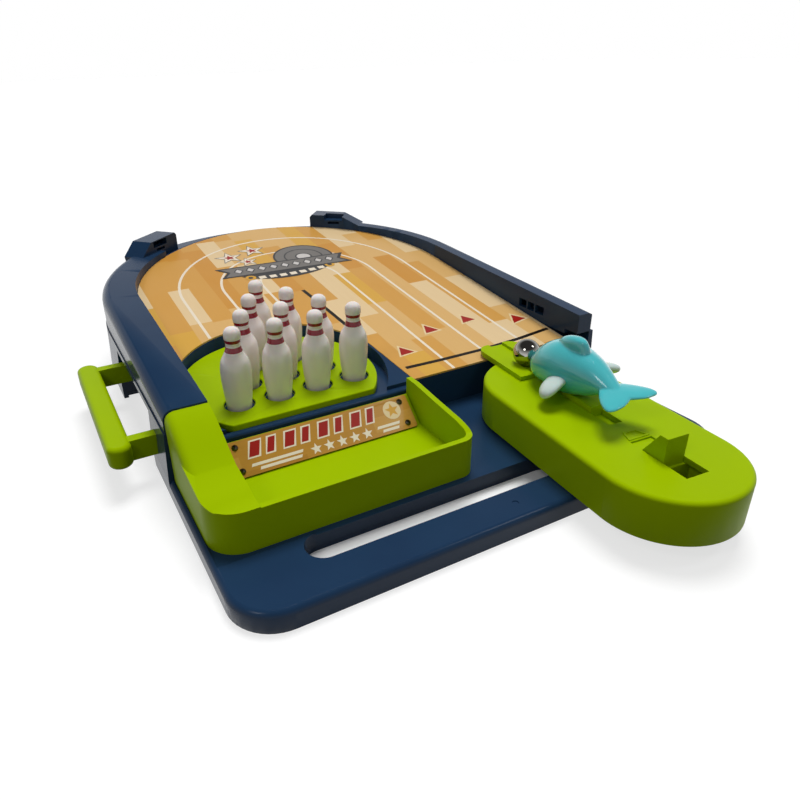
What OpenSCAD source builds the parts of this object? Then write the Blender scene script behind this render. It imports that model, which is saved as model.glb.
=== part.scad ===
// Table-top bowling game with a swivelling striker in the shape of a dolphin.
// Millimetres. X is the width, Y runs from the player's edge up the lane, Z is up.
// The origin is on the table under the middle of the base.

/* [Base] */
// Width of the base at the table
base_w = 220; // [209:1:231]
// Length of the base, front edge to the end of the round back
base_l = 322; // [306:1:338]
// Height of the front panel
panel_h = 8.2; // [8:0.1:8.8]
// Corner radius of the front panel
corner_r = 17.5; // [14:0.5:21]
// Radius of the panel's rounded top edge
edge_r = 2.6; // [2:0.1:3]
// Depth of the front panel, front to back
panel_d = 30; // [29:0.5:31]
// Height of the parting line between the two housings
seam_z = 29.5; // [28.6:0.1:30.4]
// Wall thickness of the housings
wall = 2.4; // [2:0.1:2.8]

/* [Carry slot] */
// Width of the carry slot, front to back
grip_d = 14; // [12:0.5:15]
// Left end of the carry slot
grip_x0 = -79; // [-82:1:-74]
// Right end of the carry slot
grip_x1 = 36; // [30:1:38]

/* [Lane] */
// Front edge of the lane, from the front of the base
lane_y0 = 88.4; // [87.6:0.2:90]
// Height of the lane at its front edge
lane_z0 = 24.7; // [24.2:0.1:25.2]
// Rise of the lane in degrees
lane_tilt = 6.53; // [6.1:0.1:6.8]
// Width of the left wall beside the lane
rail_l = 18.4; // [17.8:0.1:19.2]
// Width of the right wall beside the lane
rail_r = 10.4; // [9.8:0.1:11]
// Thickness of the printed lane sheet
sheet_t = 0.8; // [0.5:0.1:1.2]

/* [Walls] */
// Height of the side walls above the seam at the middle of the round back
wall_top = 16.9; // [16.2:0.1:17.4]
// Rise of the wall tops in degrees
wall_tilt = 3.04; // [2.8:0.1:3.3]
// How far the tops of the walls stand in from the sides of the base
wall_in = 1.8; // [1.6:0.1:2.4]
// Height of the low rim behind the lane
rim_z = 46; // [45:0.2:46.6]
// Height of the two lugs on the round back
lug_z = 57.5; // [56:0.5:59]
// Width of a lug along the rim
lug_w = 31; // [28:0.5:33]

/* [Pins] */
// Height of a pin
pin_h = 37.7; // [36:0.1:38.6]
// Widest diameter of a pin
pin_d = 13.1; // [12.4:0.1:13.4]
// Distance between neighbouring pins
pin_pitch = 18.5; // [18:0.1:18.8]
// Radius of the pin well
well_r = 48.8; // [48.4:0.1:49.2]
// Height of the pin plate's top at its front edge
pin_plate_z = 25.6; // [25.2:0.1:26]

/* [Launcher] */
// Distance of the launcher's pivot from the right side of the base
pivot_in = 56; // [54:0.5:58]
// Distance of the pivot from the front of the base
pivot_y = 53; // [52:0.25:54]
// Half width of the launcher
launch_r = 28.5; // [27.5:0.25:29.5]
// Distance from the pivot to the middle of the round rear end
launch_l = 69; // [67:0.5:71]
// Height of the launcher's top face
launch_z = 26.3; // [26:0.1:26.8]
// Gap between the front panel and the launcher
swing_gap = 0.4; // [0.3:0.1:0.7]
// Turn of the launcher from straight ahead, clockwise from above
rest_turn = 4.3; // [2:0.1:5]
// Travel of the striker
pull = 10.5; // [9.5:0.25:10.5]
// Diameter of the pivot
pivot_d = 10; // [8:0.5:11]
// Diameter of the steel ball
ball_d = 12.7; // [12.2:0.1:13]

/* [Tray] */
// Height of the tray's front wall
tray_z = 24; // [22:0.5:25]
// Front face of the tray, from the front of the base
tray_y0 = 33; // [32.6:0.2:34]
// Right side of the tray
tray_x1 = 1; // [-1:0.5:3]
// Slope of the ramp plate in degrees
ramp_tilt = 42; // [40:0.5:44]

/* [Handle] */
// Reach of the handle beyond the side of the base
handle_out = 19.5; // [18:0.5:22]
// Length of the handle
handle_l = 93.5; // [91:0.5:97]
// Height of the middle of the handle
handle_z = 17; // [16.8:0.1:17.2]
// Travel of the handle
handle_pull = 18; // [14:0.5:18]

/* [Hidden] */
$fn = 64;
navy = "#1f3d63";
lime = "#9fc50f";
steel = "#c4c7cb";
// gap between pieces that move past each other
slide_gap = 0.3;
// gap between pieces that are assembled and stay put
fit_gap = 0.2;
// radial clearance of the running fits
run_gap = 0.06;
half_w = base_w / 2;
back_y = base_l - half_w;
wall_half = half_w - wall_in;
lane_r = wall_half - (rail_l + rail_r) / 2;
lane_x = (rail_l - rail_r) / 2;
pivot_x = half_w - pivot_in;
bay_z = 7.2;
plate_t = 2;
lane_slope = sin(lane_tilt) / cos(lane_tilt);
function lane_z(y) = lane_z0 + (y - lane_y0) * lane_slope;
// the recess in the left side that the fingers reach through
arch_y0 = 117;
arch_y1 = 190;
arch_x = -half_w + 14;
// where the screws come up through the bottom plate: into the front panel, the bay and the deck
shell_screws = [[-half_w + 15, 16], [half_w - 15, 16], [pivot_x - 24, 44], [-half_w + 50, 60]];
deck_screws = [
    [half_w - 50, lane_y0 + 41.6], [-half_w + 76, back_y - 7], [half_w - 50, back_y + 3], [lane_x, base_l - 36],
    [-half_w + 44, back_y + 10], [half_w - 22, lane_y0 + 11.6]
];
handle_y0 = 99.5;
arm_t = 5;
arm_ys = [handle_y0 + 5.5, handle_y0 + handle_l - 10.5];
arm_z0 = handle_z - 4.7;
arm_z1 = handle_z + 4.5;
inner_z1 = handle_z + 1;
bar_x = -half_w + 44;
bar_w = 8;
spring_ys = [122, 172];
spring_x1 = -half_w + 88;
spring_z = 15.2;

// everything is drawn from the front edge and then centred on the base
module placed() translate([0, -base_l / 2, 0]) children();

// the outline of the base, drawn in by inset
module outline(inset = 0) {
    translate([0, back_y]) circle(r = half_w - inset, $fn = 128);
    translate([-half_w + inset, corner_r]) square([base_w - 2 * inset, back_y - corner_r]);
    translate([-half_w + corner_r, inset]) square([base_w - 2 * corner_r, corner_r]);
    for (s = [-1, 1])
        translate([s * (half_w - corner_r), corner_r]) circle(r = corner_r - inset);
}

// the carry slot's outline
module grip_outline(grow = 0) {
    for (x = [grip_x0 + grip_d / 2, grip_x1 - grip_d / 2])
        translate([x, panel_d - grip_d / 2]) circle(r = grip_d / 2 + grow);
    translate([grip_x0 + grip_d / 2, panel_d - grip_d - grow])
        square([grip_x1 - grip_x0 - grip_d, grip_d + 2 * grow]);
}

// a half profile swept round the back and carried straight to the front
module swept(y_from) {
    translate([0, back_y, 0]) {
        rotate_extrude(angle = 180, $fn = 128) children();
        for (s = [0, 1])
            mirror([s, 0, 0])
                rotate([90, 0, 0])
                    linear_extrude(back_y - y_from) children();
    }
}

// what rounds an edge off: the square outside an arc, drawn at the edge with its outer side towards +X
module edge_cut(r = edge_r) {
    c = r - 0.03;
    difference() {
        translate([-c, -c]) square(c + 2);
        translate([-c, -c]) circle(r = r, $fn = 48);
    }
}

// the low slab with its rounded top edge
module panel_body() difference() {
    linear_extrude(panel_h) panel_area();
    translate([corner_r - half_w, 0, panel_h]) rotate([90, 0, 90])
        linear_extrude(base_w - 2 * corner_r) mirror([1, 0]) edge_cut();
    for (s = [0, 1]) mirror([s, 0, 0]) {
        translate([half_w, lane_y0 + 1, panel_h]) rotate([90, 0, 0])
            linear_extrude(lane_y0 + 1 - corner_r) edge_cut();
        translate([half_w - corner_r, corner_r, panel_h]) rotate([0, 0, -90])
            rotate_extrude(angle = 90) translate([corner_r, 0]) edge_cut();
    }
}
module panel_area(inset = 0) intersection() {
    outline(inset);
    translate([-200, 0]) square([400, lane_y0]);
}

// the raised part's walls, drafted below the seam
module lower_block(inset = 0) {
    swept(lane_y0)
        polygon([
            [0, 0], [half_w - inset, 0], [half_w - inset, panel_h],
            [wall_half + 0.5 - inset, seam_z], [0, seam_z]
        ]);
    // the right wall runs further forward than the left one
    translate([0, back_y, 0])
        rotate([90, 0, 0])
            linear_extrude(back_y - lane_y0 + 7 - inset)
                polygon([
                    [lane_x + lane_r + inset, 0], [half_w - inset, 0], [half_w - inset, panel_h],
                    [wall_half + 0.5 - inset, seam_z], [lane_x + lane_r + inset, seam_z]
                ]);
}

// the round edged puck that the side walls are cut from, in the tilted frame of the wall tops
module upper_puck(inset = 0) {
    r = 4.5;
    translate([0, back_y, seam_z])
        rotate([wall_tilt, 0, 0])
            translate([0, -back_y, 0])
                swept(lane_y0 - 14) {
                    translate([0, -20]) square([wall_half - inset, 20 + wall_top - r]);
                    square([wall_half - r, wall_top - inset]);
                    intersection() {
                        translate([wall_half - r, wall_top - r]) circle(r = r - inset);
                        square([300, 300]);
                    }
                }
}

// the volume above the lane, drawn out by grow and sunk by drop
module lane_volume(grow = 0, drop = 0, forward = 20, high = 50) {
    run = (back_y - lane_y0) / cos(lane_tilt);
    translate([0, lane_y0, lane_z0])
        rotate([lane_tilt, 0, 0])
            translate([lane_x, 0, -drop])
                linear_extrude(high) {
                    translate([0, run]) circle(r = lane_r + grow, $fn = 128);
                    translate([-lane_r - grow, -forward]) square([2 * (lane_r + grow), run + forward]);
                }
}

// the round pin well, which opens through the front of the deck
pins_x = lane_x - lane_r + 44.85;
well_x = pins_x - 1.65;
well_y = lane_y0 + 31.2;
module well_outline(inset = 0, shift = 0) intersection() {
    translate([well_x + shift, well_y]) circle(r = well_r - inset, $fn = 96);
    translate([lane_x - lane_r + 0.3 + inset / 3, lane_y0 - 0.1]) square([200, 200]);
}

// the corner between the well and the lane's sheet
module well_corner() linear_extrude(60)
    polygon([[-200, 0], [lane_x + 1.1, 0], [lane_x + 1.1, lane_y0 + 1], [lane_x - 1.2, well_y + 8], [-200, well_y + 8]]);

// the finger recess in the left side
module arch(grow = 0, top = 0) {
    translate([-200, arch_y0 - grow, -1])
        cube([200 + arch_x + grow, arch_y1 - arch_y0 + 2 * grow, seam_z + 1 - wall + top]);
}

module arm_slots(inner = false) {
    for (y = [arm_ys[0], arm_ys[1]])
        translate([inner ? arch_x - 6 : -half_w - 2, y - slide_gap, arm_z0 - slide_gap])
            cube([inner ? 12 : 10, arm_t + 2 * slide_gap, arm_z1 - arm_z0 + 2 * slide_gap]);
}

// cuts the square corner at the right wall's front end to a round one
module wall_end(r = 2.6) linear_extrude(60) difference() {
    translate([0.1 - r, -0.3]) square([r + 3, r + 0.2]);
    translate([0.1 - r, r - 0.1]) circle(r = r, $fn = 48);
}

// lower housing: front panel, launcher bay, side walls up to the seam
module base_shell() color(navy) placed() difference() {
    union() {
        difference() {
            union() {
                panel_body();
                lower_block();
            }
            // the bay's floor
            translate([-half_w + 2, panel_d, bay_z]) cube([base_w - 5.8, lane_y0 - panel_d + 0.1, 40]);
            // the hollow from below
            translate([0, 0, -1]) linear_extrude(bay_z - 1.4 + 1) intersection() {
                outline(wall);
                translate([-200, 0]) square([400, lane_y0 + 4]);
            }
            difference() {
                union() {
                    translate([0, 0, -1]) linear_extrude(bay_z + 1.1) intersection() {
                        outline(wall + 2.6);
                        translate([-200, lane_y0 + 1]) square([400, 400]);
                    }
                    translate([0, 0, bay_z]) linear_extrude(seam_z) intersection() {
                        outline(wall + 2.6);
                        translate([-200, lane_y0]) square([400, 400]);
                    }
                    // inside the right wall's front end
                    translate([lane_x + lane_r + wall, lane_y0 - 7 + wall, bay_z])
                        cube([half_w - wall - 2.6 - lane_x - lane_r - wall, 7, seam_z]);
                }
                arch(wall, wall);
            }
            translate([0, 0, -1]) linear_extrude(plate_t + 1 + 1.4) intersection() {
                outline(wall);
                translate([-200, lane_y0 + 1]) square([400, 400]);
            }
            arch();
            // rebate that takes the lip of the upper housing
            translate([0, 0, seam_z - 3]) linear_extrude(4) intersection() {
                outline(wall + 2.3);
                translate([-200, lane_y0 + 1]) square([400, 400]);
            }
        }
        // the wall round the carry slot, the screw bosses and the pivot's spigot
        translate([0, 0, plate_t]) linear_extrude(bay_z - plate_t) grip_outline(2);
        for (p = shell_screws) translate([p[0], p[1], plate_t]) cylinder(d = 7, h = bay_z - plate_t);
        translate([pivot_x, pivot_y, bay_z - 1.4]) cylinder(d = pivot_d, h = 7.4);
        translate([pivot_x, pivot_y, plate_t]) cylinder(d = pivot_d + 8, h = bay_z - plate_t);
        // stiffening ribs under the bay
        for (x = [-half_w + 70, 0, half_w - 22]) translate([x, panel_d + 4, plate_t]) cube([1.6, lane_y0 - panel_d - 6, bay_z - plate_t]);
    }
    translate([0, 0, -1]) linear_extrude(panel_h + 2) grip_outline();
    for (p = shell_screws) translate([p[0], p[1], 0]) cylinder(d = 2.6, h = bay_z - 1);
    translate([pivot_x, pivot_y, plate_t + 1]) cylinder(d = 2.9, h = 20);
    for (x = tray_screw_xs) translate([x, tray_y0 + 20, plate_t]) cylinder(d = 3, h = 10);
    arm_slots();
    arm_slots(true);
    // sink mark where the panel's screw boss meets the skin
    translate([0.3, 8.5, panel_h - 0.3]) cylinder(d = 2.6, h = 1);
}

// flat plate that closes the underside, with rails for the handle's arms
module bottom_plate() color(navy) placed() difference() {
    union() {
        linear_extrude(plate_t) difference() {
            outline(wall + fit_gap);
            grip_outline(fit_gap);
        }
        for (y = arm_ys) translate([-half_w + 26, y - 1, plate_t]) cube([10, arm_t + 2, arm_z0 - plate_t - slide_gap]);
        for (y = spring_ys) translate([spring_x1, y - 3, plate_t - 0.1]) cube([5, 6, handle_z + 1.7 - plate_t]);
    }
    translate([0, 0, -1]) linear_extrude(plate_t + 3) intersection() {
        translate([-200, arch_y0 - wall - fit_gap])
            square([200 + arch_x + wall + fit_gap, arch_y1 - arch_y0 + 2 * (wall + fit_gap)]);
        translate([-200, 0]) square([400, 400]);
    }
    for (p = concat(shell_screws, deck_screws)) translate([p[0], p[1], -1]) {
        cylinder(d = 3.2, h = plate_t + 2);
        cylinder(d = 6.6, h = 2);
    }
    for (y = spring_ys) translate([spring_x1 - 1, y, spring_z]) rotate([0, 90, 0]) cylinder(d = 1.6, h = 7);
}

// screws that hold the bottom plate, with cross recesses in their heads
module bottom_screws() color(steel) placed() {
    for (p = shell_screws) translate([p[0], p[1], 0]) screw(2.5, 5.8, 1, 5.6);
    for (p = deck_screws) translate([p[0], p[1], 0]) screw(2.5, 5.8, 1, 13);
}

// a screw seen from below, head down
module screw(d, head_d, head_h, length) difference() {
    union() {
        cylinder(d = head_d, h = head_h);
        cylinder(d = d, h = length);
    }
    for (a = [0, 90]) rotate([0, 0, a]) translate([-1.5, -0.3, -0.1]) cube([3, 0.6, 0.7]);
}

// a lug on the rim, drawn at the middle of the round back and facing along X
module lug(side) translate([0, back_y + 1, 0]) rotate([0, 0, side > 0 ? 50 : 130]) {
    top = side > 0 ? lug_z - 1 : lug_z;
    difference() {
        translate([lane_r + 0.5, 0, 0]) rotate([90, 0, 90]) linear_extrude(wall_half - lane_r - 0.5)
            polygon([
                [-side * lug_w / 2, seam_z + 4], [-side * (lug_w / 2 + 3), lug_z - 8],
                [-side * (lug_w / 2 - (side > 0 ? 10 : 7)), top - 0.6], [side * lug_w / 2, top],
                [side * (lug_w / 2 + 1.5), top - 1.5], [side * (lug_w / 2 + 1.5), seam_z + 4]
            ]);
        translate([lane_r - 1, -6.5, lug_z - 4.6]) cube([9, 13, 3.6]);
        translate([lane_r - 1, -4, lug_z - 7.2]) cube([7, 8, 1.6]);
    }
}

// everything above height z between the lugs
module rear_sector(z) translate([0, back_y, z]) linear_extrude(60)
    polygon([[0, 0], [-110, 130], [110, 130]]);

// upper housing: side walls, lugs, the lane's bed, the pin well and the apron behind the bay
module upper_deck() color(navy) placed() difference() {
    union() {
        difference() {
            intersection() {
                upper_puck();
                translate([-200, lane_y0 - 7, seam_z]) cube([400, 400, 40]);
            }
            // the left part starts further back than the right wall
            translate([-200, lane_y0 - 20, 0]) cube([200 + lane_x + lane_r, 19.6, 100]);
            lane_volume(fit_gap, sheet_t);
            // the low rim between the lugs
            rear_sector(rim_z);
        }
        intersection() {
            lane_bed();
            translate([0, 0, plate_t]) linear_extrude(60) outline(wall + 2.8);
        }
        for (s = [-1, 1]) lug(s);
        // the corner beside the pin well
        intersection() {
            lane_volume(wall, sheet_t + 1, high = sheet_t + 0.9);
            well_corner();
            translate([-200, lane_y0, 0]) cube([400, 400, 60]);
        }
        // sill in front of the pin plate
        translate([lane_x - lane_r + fit_gap, lane_y0 - 3.4, bay_z]) rotate([90, 0, 90])
            linear_extrude(well_x + well_r - lane_x + lane_r + 2.6) {
                square([4, 14.5]);
                translate([1.2, 0]) square([2.8, 15.7]);
                translate([1.2, 14.5]) circle(r = 1.2, $fn = 32);
            }
        // the lip inside the lower housing's rim
        intersection() {
            translate([0, 0, seam_z - 2.6]) linear_extrude(3) intersection() {
                outline(wall + 2.6);
                translate([-200, lane_y0 + 2]) square([400, 400]);
            }
            difference() {
                translate([-200, lane_y0 + 2, 0]) cube([400, 400, 60]);
                lane_volume(-2, 30);
                arch(wall + fit_gap, 20);
            }
        }
        // posts for the screws of the bottom plate
        for (p = deck_screws)
            translate([p[0], p[1], plate_t]) cylinder(d = 7, h = lane_z(p[1]) - plate_t - 2);
    }
    translate([wall_half, lane_y0 - 7, seam_z - 5]) wall_end();
    deck_hollow();
    // the pin well
    translate([0, 0, pin_plate_z - 3.8]) linear_extrude(lane_z0 - pin_plate_z + 18) well_outline();
    difference() {
        lane_volume(fit_gap, sheet_t);
        well_corner();
    }
    // three windows in the right wall
    for (w = [[18.5, 6.6], [26, 5.2], [32.1, 6.2]])
        translate([lane_x + lane_r - 2, lane_y0 + w[0], lane_z0 + 6.4]) cube([7, w[1], 4.5]);
    for (p = deck_screws) translate([p[0], p[1], 0]) cylinder(d = 2.6, h = 15);
}

// the bed under the lane and the apron that closes its front
module lane_bed() intersection() {
    lane_volume(wall, 40, high = 40 - sheet_t);
    translate([-200, lane_y0, bay_z]) cube([400, 400, 60]);
}

// the space inside the upper housing
module deck_hollow() difference() {
    union() {
        intersection() {
            upper_puck(wall);
            translate([-200, lane_y0 + wall, seam_z - 0.1]) cube([400, 400, 40]);
        }
        linear_extrude(seam_z) intersection() {
            outline(wall + 5);
            translate([-200, lane_y0 + wall]) square([400, 400]);
        }
    }
    lane_volume(wall, sheet_t + 2.2);
    translate([0, 0, pin_plate_z - 3.8 - 2.2]) linear_extrude(40) well_outline(-2.2);
    for (s = [-1, 1]) translate([0, back_y + 1, 0]) rotate([0, 0, s > 0 ? 50 : 130])
        translate([lane_r, -lug_w / 2 - 3, 0]) cube([20, lug_w + 6, 80]);
    for (p = deck_screws) translate([p[0], p[1], plate_t]) cylinder(d = 7, h = 60);
    rear_sector(rim_z - wall);
    // ribs under the lane
    for (y = [lane_y0 + 106, lane_y0 + 150, lane_y0 + 190])
        translate([-100, y, lane_z(y) - 10]) cube([200, 1.6, 20]);
    for (x = [30, 70]) translate([x, lane_y0, 16]) cube([1.6, 200, 40]);
}

// the printed board that forms the playing surface
module lane_sheet() color("#e2a94a") placed() difference() {
    intersection() {
        lane_volume(0, sheet_t, high = sheet_t);
        translate([-200, lane_y0 + 0.1, 0]) cube([400, 400, 100]);
    }
    translate([0, 0, -1]) linear_extrude(100) translate([well_x, well_y]) circle(r = well_r + 0.4, $fn = 96);
    translate([fit_gap, 0, 0]) well_corner();
}

tray_x0 = -half_w + 2.4;

// the tray's outline seen from above
module tray_outline(inset = 0) {
    x0 = tray_x0;
    intersection() {
        union() {
            translate([x0 + 13, tray_y0 + inset]) square([tray_x1 - x0 - 20, 60]);
            translate([x0 + inset, tray_y0 + 13]) square([tray_x1 - x0 - 2 * inset, 60]);
            translate([x0 + 13, tray_y0 + 13]) circle(r = 13 - inset);
            translate([tray_x1 - 7, tray_y0 + 7]) circle(r = 7 - inset);
            translate([tray_x1 - 14, tray_y0 + 7]) square([14 - inset, 20]);
        }
        translate([-300, 0]) square([600, lane_y0 - 0.6 - inset]);
    }
}

// the tray's left block, which rises in a curve to meet the side wall
function ease(t) = let (u = min(max(t, 0), 1)) u * u * (3 - 2 * u);
function block_z(y) = tray_z + 0.4 + 14.9 * ease((y - tray_y0 - 13) / 44);
module block_shape(drop = 0, edge = 4) {
    x0 = tray_x0 + drop;
    x1 = lane_x - lane_r - drop;
    r = edge - drop;
    ys = [for (i = [0 : 17]) tray_y0 - 1 + i * 3.4];
    rows = [for (y = ys) let (z = block_z(y) - drop) concat(
        [[x1, y, bay_z - 5], [x1, y, z]],
        [for (a = [90 : 22.5 : 180]) [x0 + r + r * cos(a), y, z - r + r * sin(a)]],
        [[x0, y, bay_z - 5]]
    )];
    k = len(rows[0]);
    n = len(rows);
    polyhedron([for (q = rows, v = q) v], concat(
        [[for (j = [k - 1 : -1 : 0]) j]],
        [for (i = [0 : n - 2], j = [0 : k - 1]) [i * k + j, i * k + (j + 1) % k, (i + 1) * k + (j + 1) % k, (i + 1) * k + j]],
        [[for (j = [0 : k - 1]) (n - 1) * k + j]]
    ));
}

// front face line of the ramp that the plate lies on, and the back of the tray
ramp_y0 = lane_y0 - 18.4;
tray_y1 = lane_y0 - 4.4;
ramp_z0 = 11.2;
ramp_l = 16.6;

// tray that catches the balls, with the ramp behind it and the block at its left
module tray() color(lime) placed() difference() {
    union() {
        // floor and walls
        intersection() {
            translate([0, 0, bay_z]) linear_extrude(30) tray_outline();
            translate([-300, 0, 0]) rotate([90, 0, 90]) linear_extrude(600)
                polygon([
                    [0, 0], [0, tray_z], [38, tray_z], [41, tray_z + 1], [46, tray_z + 2], [61, tray_z + 3.3],
                    [tray_y1 - 7, tray_z + 5], [tray_y1, tray_z + 5], [tray_y1, 0]
                ]);
            difference() {
                translate([-300, 0, 0]) cube([600, tray_y1, 60]);
                translate([0, 0, bay_z + 4.2]) linear_extrude(60) intersection() {
                    tray_outline(2.5);
                    translate([lane_x - lane_r, 0]) square([200, 200]);
                }
            }
        }
        intersection() {
            translate([0, 0, bay_z]) linear_extrude(60) tray_outline();
            block_shape();
        }
        // ramp
        translate([lane_x - lane_r - 1, 0, 0]) rotate([90, 0, 90])
            linear_extrude(tray_x1 - 2 - lane_x + lane_r)
                polygon([
                    [ramp_y0 - 3, bay_z], [ramp_y0 - 3, ramp_z0 - 0.2], [ramp_y0 + 0.6, ramp_z0 - 0.2],
                    [ramp_y0 + ramp_l * cos(ramp_tilt) + 0.5, ramp_z0 + ramp_l * sin(ramp_tilt) - 0.5],
                    [tray_y1, bay_z]
                ]);
    }
    // the block is open from below
    difference() {
        intersection() {
            translate([0, 0, bay_z - 1]) linear_extrude(60) tray_outline(2.5);
            block_shape(2.5);
            translate([-300, tray_y0 + 3, 0]) cube([300 + lane_x - lane_r - 2.5, 100, 100]);
        }
    }
    // the ramp is hollow too
    translate([lane_x - lane_r + 2, 0, 0]) rotate([90, 0, 90]) linear_extrude(tray_x1 - 6 - lane_x + lane_r)
        polygon([
            [ramp_y0 + 4, bay_z - 1], [tray_y1 - 2, bay_z - 1], [tray_y1 - 2, bay_z + 10.8],
            [ramp_y0 + 4, bay_z + 2.6]
        ]);
    for (x = tray_screw_xs) translate([x, tray_y0 + 20, bay_z - 1]) cylinder(d = 2.6, h = 4.4);
}
tray_screw_xs = [-half_w + 40, tray_x1 - 21];

// screws that hold the tray, driven up through the bay's floor
module tray_screws() color(steel) placed()
    for (x = tray_screw_xs) translate([x, tray_y0 + 20, bay_z - 1.4 - 1.2]) screw(2.5, 5.6, 1.2, 5.8);

module on_ramp() translate([0, ramp_y0, ramp_z0]) rotate([ramp_tilt, 0, 0]) children();
plate_x0 = lane_x - lane_r + 1.8;
plate_x1 = tray_x1 - 5;

// printed plate on the ramp
module ramp_plate() color("#d8b765") placed() on_ramp() difference() {
    translate([plate_x0, 0.6, 0]) linear_extrude(0.8) {
        translate([1, 0]) square([plate_x1 - plate_x0 - 2, ramp_l - 1.2]);
        translate([0, 1]) square([plate_x1 - plate_x0, ramp_l - 3.2]);
        for (x = [1, plate_x1 - plate_x0 - 1], y = [1, ramp_l - 2.2]) translate([x, y]) circle(r = 1);
    }
    rivets_at() translate([0, 0, -1]) cylinder(d = 1.7, h = 3);
}

module rivets_at() for (x = [plate_x0 + 4, plate_x1 - 4], y = [3.2, ramp_l - 3.2]) translate([x, y, 0]) children();

// the four domed rivets of the plate
module ramp_rivets() color(steel) placed() on_ramp() rivets_at() intersection() {
    union() {
        translate([0, 0, 0]) cylinder(d = 1.6, h = 1);
        translate([0, 0, 0.2]) sphere(d = 3, $fn = 32);
    }
    union() {
        translate([-3, -3, 0.8]) cube([6, 6, 3]);
        cylinder(d = 1.6, h = 1);
    }
}

// the pins' plate, in a frame that lies along its top
plate_tilt = 2.06;
seat_depth = 2;
module on_plate() translate([0, lane_y0 + 4, pin_plate_z]) rotate([plate_tilt, 0, 0]) children();
pin_x0 = pins_x - 1.5 * pin_pitch;
pin_y0 = 12.5;
// rows of four, three, two and one, the four nearest the tray
pin_row = [0, 0, 0, 0, 1, 1, 1, 2, 2, 3];
pin_col = [0, 1, 2, 3, 0, 1, 2, 0, 1, 0];
function pin_at(i) = [pin_x0 + (pin_col[i] + pin_row[i] / 2) * pin_pitch, pin_y0 + pin_row[i] * pin_pitch * sin(60)];

module pin_plate() color(lime) placed() difference() {
    intersection() {
        translate([0, 0.2, pin_plate_z - 3.8]) linear_extrude(20) well_outline(3.6, -1.7);
        on_plate() translate([-200, -20, -20]) cube([400, 400, 20]);
    }
    on_plate() for (i = [0 : 9]) translate([pin_at(i)[0], pin_at(i)[1], -seat_depth]) {
        cylinder(d = pin_d + 0.4, h = 10);
        translate([0, 0, -6]) cylinder(d = 3, h = 10);
    }
}

// half profile of a pin: radius and height as shares of the widest radius and the full height
pin_shape = [
    [0.79, 0], [0.81, 0.012], [0.86, 0.1], [0.93, 0.22], [0.98, 0.33], [1, 0.43], [0.99, 0.5], [0.95, 0.56],
    [0.87, 0.615], [0.72, 0.665], [0.59, 0.71], [0.52, 0.75], [0.48, 0.785], [0.475, 0.81], [0.495, 0.84],
    [0.53, 0.87], [0.545, 0.905], [0.52, 0.943], [0.43, 0.973], [0.26, 0.993], [0, 1]
];
module one_pin(i) color("#f2f2ee") placed() on_plate() translate([pin_at(i)[0], pin_at(i)[1], -seat_depth])
    rotate_extrude(angle = 360) polygon(concat(
        [[0, 0]], [for (q = pin_shape) [q[0] * pin_d / 2, q[1] * pin_h]]
    ));
module pin_1() one_pin(0);
module pin_2() one_pin(1);
module pin_3() one_pin(2);
module pin_4() one_pin(3);
module pin_5() one_pin(4);
module pin_6() one_pin(5);
module pin_7() one_pin(6);
module pin_8() one_pin(7);
module pin_9() one_pin(8);
module pin_10() one_pin(9);

// the launcher's frame: origin at the pivot on the table, Y along the shot
module aimed() placed() translate([pivot_x, pivot_y, 0]) rotate([0, 0, -rest_turn]) children();
launch_z0 = panel_h + swing_gap;
module launch_outline(inset = 0) {
    circle(r = launch_r - inset, $fn = 96);
    translate([0, -launch_l]) circle(r = launch_r - inset, $fn = 96);
    translate([-launch_r + inset, -launch_l]) square([2 * (launch_r - inset), launch_l]);
}
shell_t = 2.2;
cover_t = 2;
slot_y1 = -55.4;
slot_y0 = slot_y1 - 16 - pull - 0.3;
slot_w = 10.5;
hub_d = pivot_d + 6;
rod_y1 = -9.6;
post_y0 = -31;
post_y1 = -13;
launcher_screw_spots = [[-22, 0], [22, 0], [-22, -70], [22, -70]];
rod_z0 = launch_z0 + cover_t + 0.6;
rod_z1 = launch_z - shell_t - slide_gap;
rod_w = 15;
coil_z = (rod_z0 + rod_z1) / 2;

// round edged half profile of the launcher's shell
module shell_profile(inset = 0) {
    r = max(0, 1.8 - inset);
    translate([0, launch_z0]) square([launch_r - inset, launch_z - inset - r - launch_z0]);
    translate([0, launch_z0]) square([launch_r - inset - r, launch_z - inset - launch_z0]);
    if (r > 0) intersection() {
        translate([launch_r - r, launch_z - r]) circle(r = r, $fn = 32);
        square([300, 300]);
    }
}
module shell_body(inset = 0) {
    rotate_extrude($fn = 96) shell_profile(inset);
    translate([0, -launch_l, 0]) rotate_extrude($fn = 96) shell_profile(inset);
    for (s = [0, 1]) mirror([s, 0, 0]) rotate([90, 0, 0]) linear_extrude(launch_l) shell_profile(inset);
}

// plate under the launcher with the hub that turns on the pivot
module launcher_cover() color(lime) aimed() difference() {
    union() {
        translate([0, 0, launch_z0]) linear_extrude(cover_t) launch_outline(shell_t + fit_gap);
        translate([0, 0, launch_z0]) cylinder(d = hub_d, h = 12.9 - launch_z0);
        translate([0, 0, bay_z + 0.3]) cylinder(d = hub_d + 12, h = launch_z0 - bay_z);
        for (s = [-1, 1]) translate([s * (rod_w / 2 + 1.4) - 0.8, -launch_l - 12, launch_z0])
            cube([1.6, 44, cover_t + 2.4]);
    }
    translate([0, 0, 0]) cylinder(d = pivot_d + 2 * run_gap, h = 40);
    for (p = launcher_screw_spots) translate([p[0], p[1], launch_z0 - 1]) {
        cylinder(d = 2.8, h = 10);
        cylinder(d = 5.4, h = 1.9);
    }
}

module pivot_washer() color(steel) aimed() translate([0, 0, 13.2]) difference() {
    cylinder(d = hub_d - 1, h = 1);
    translate([0, 0, -1]) cylinder(d = 3.1, h = 3);
}

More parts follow.
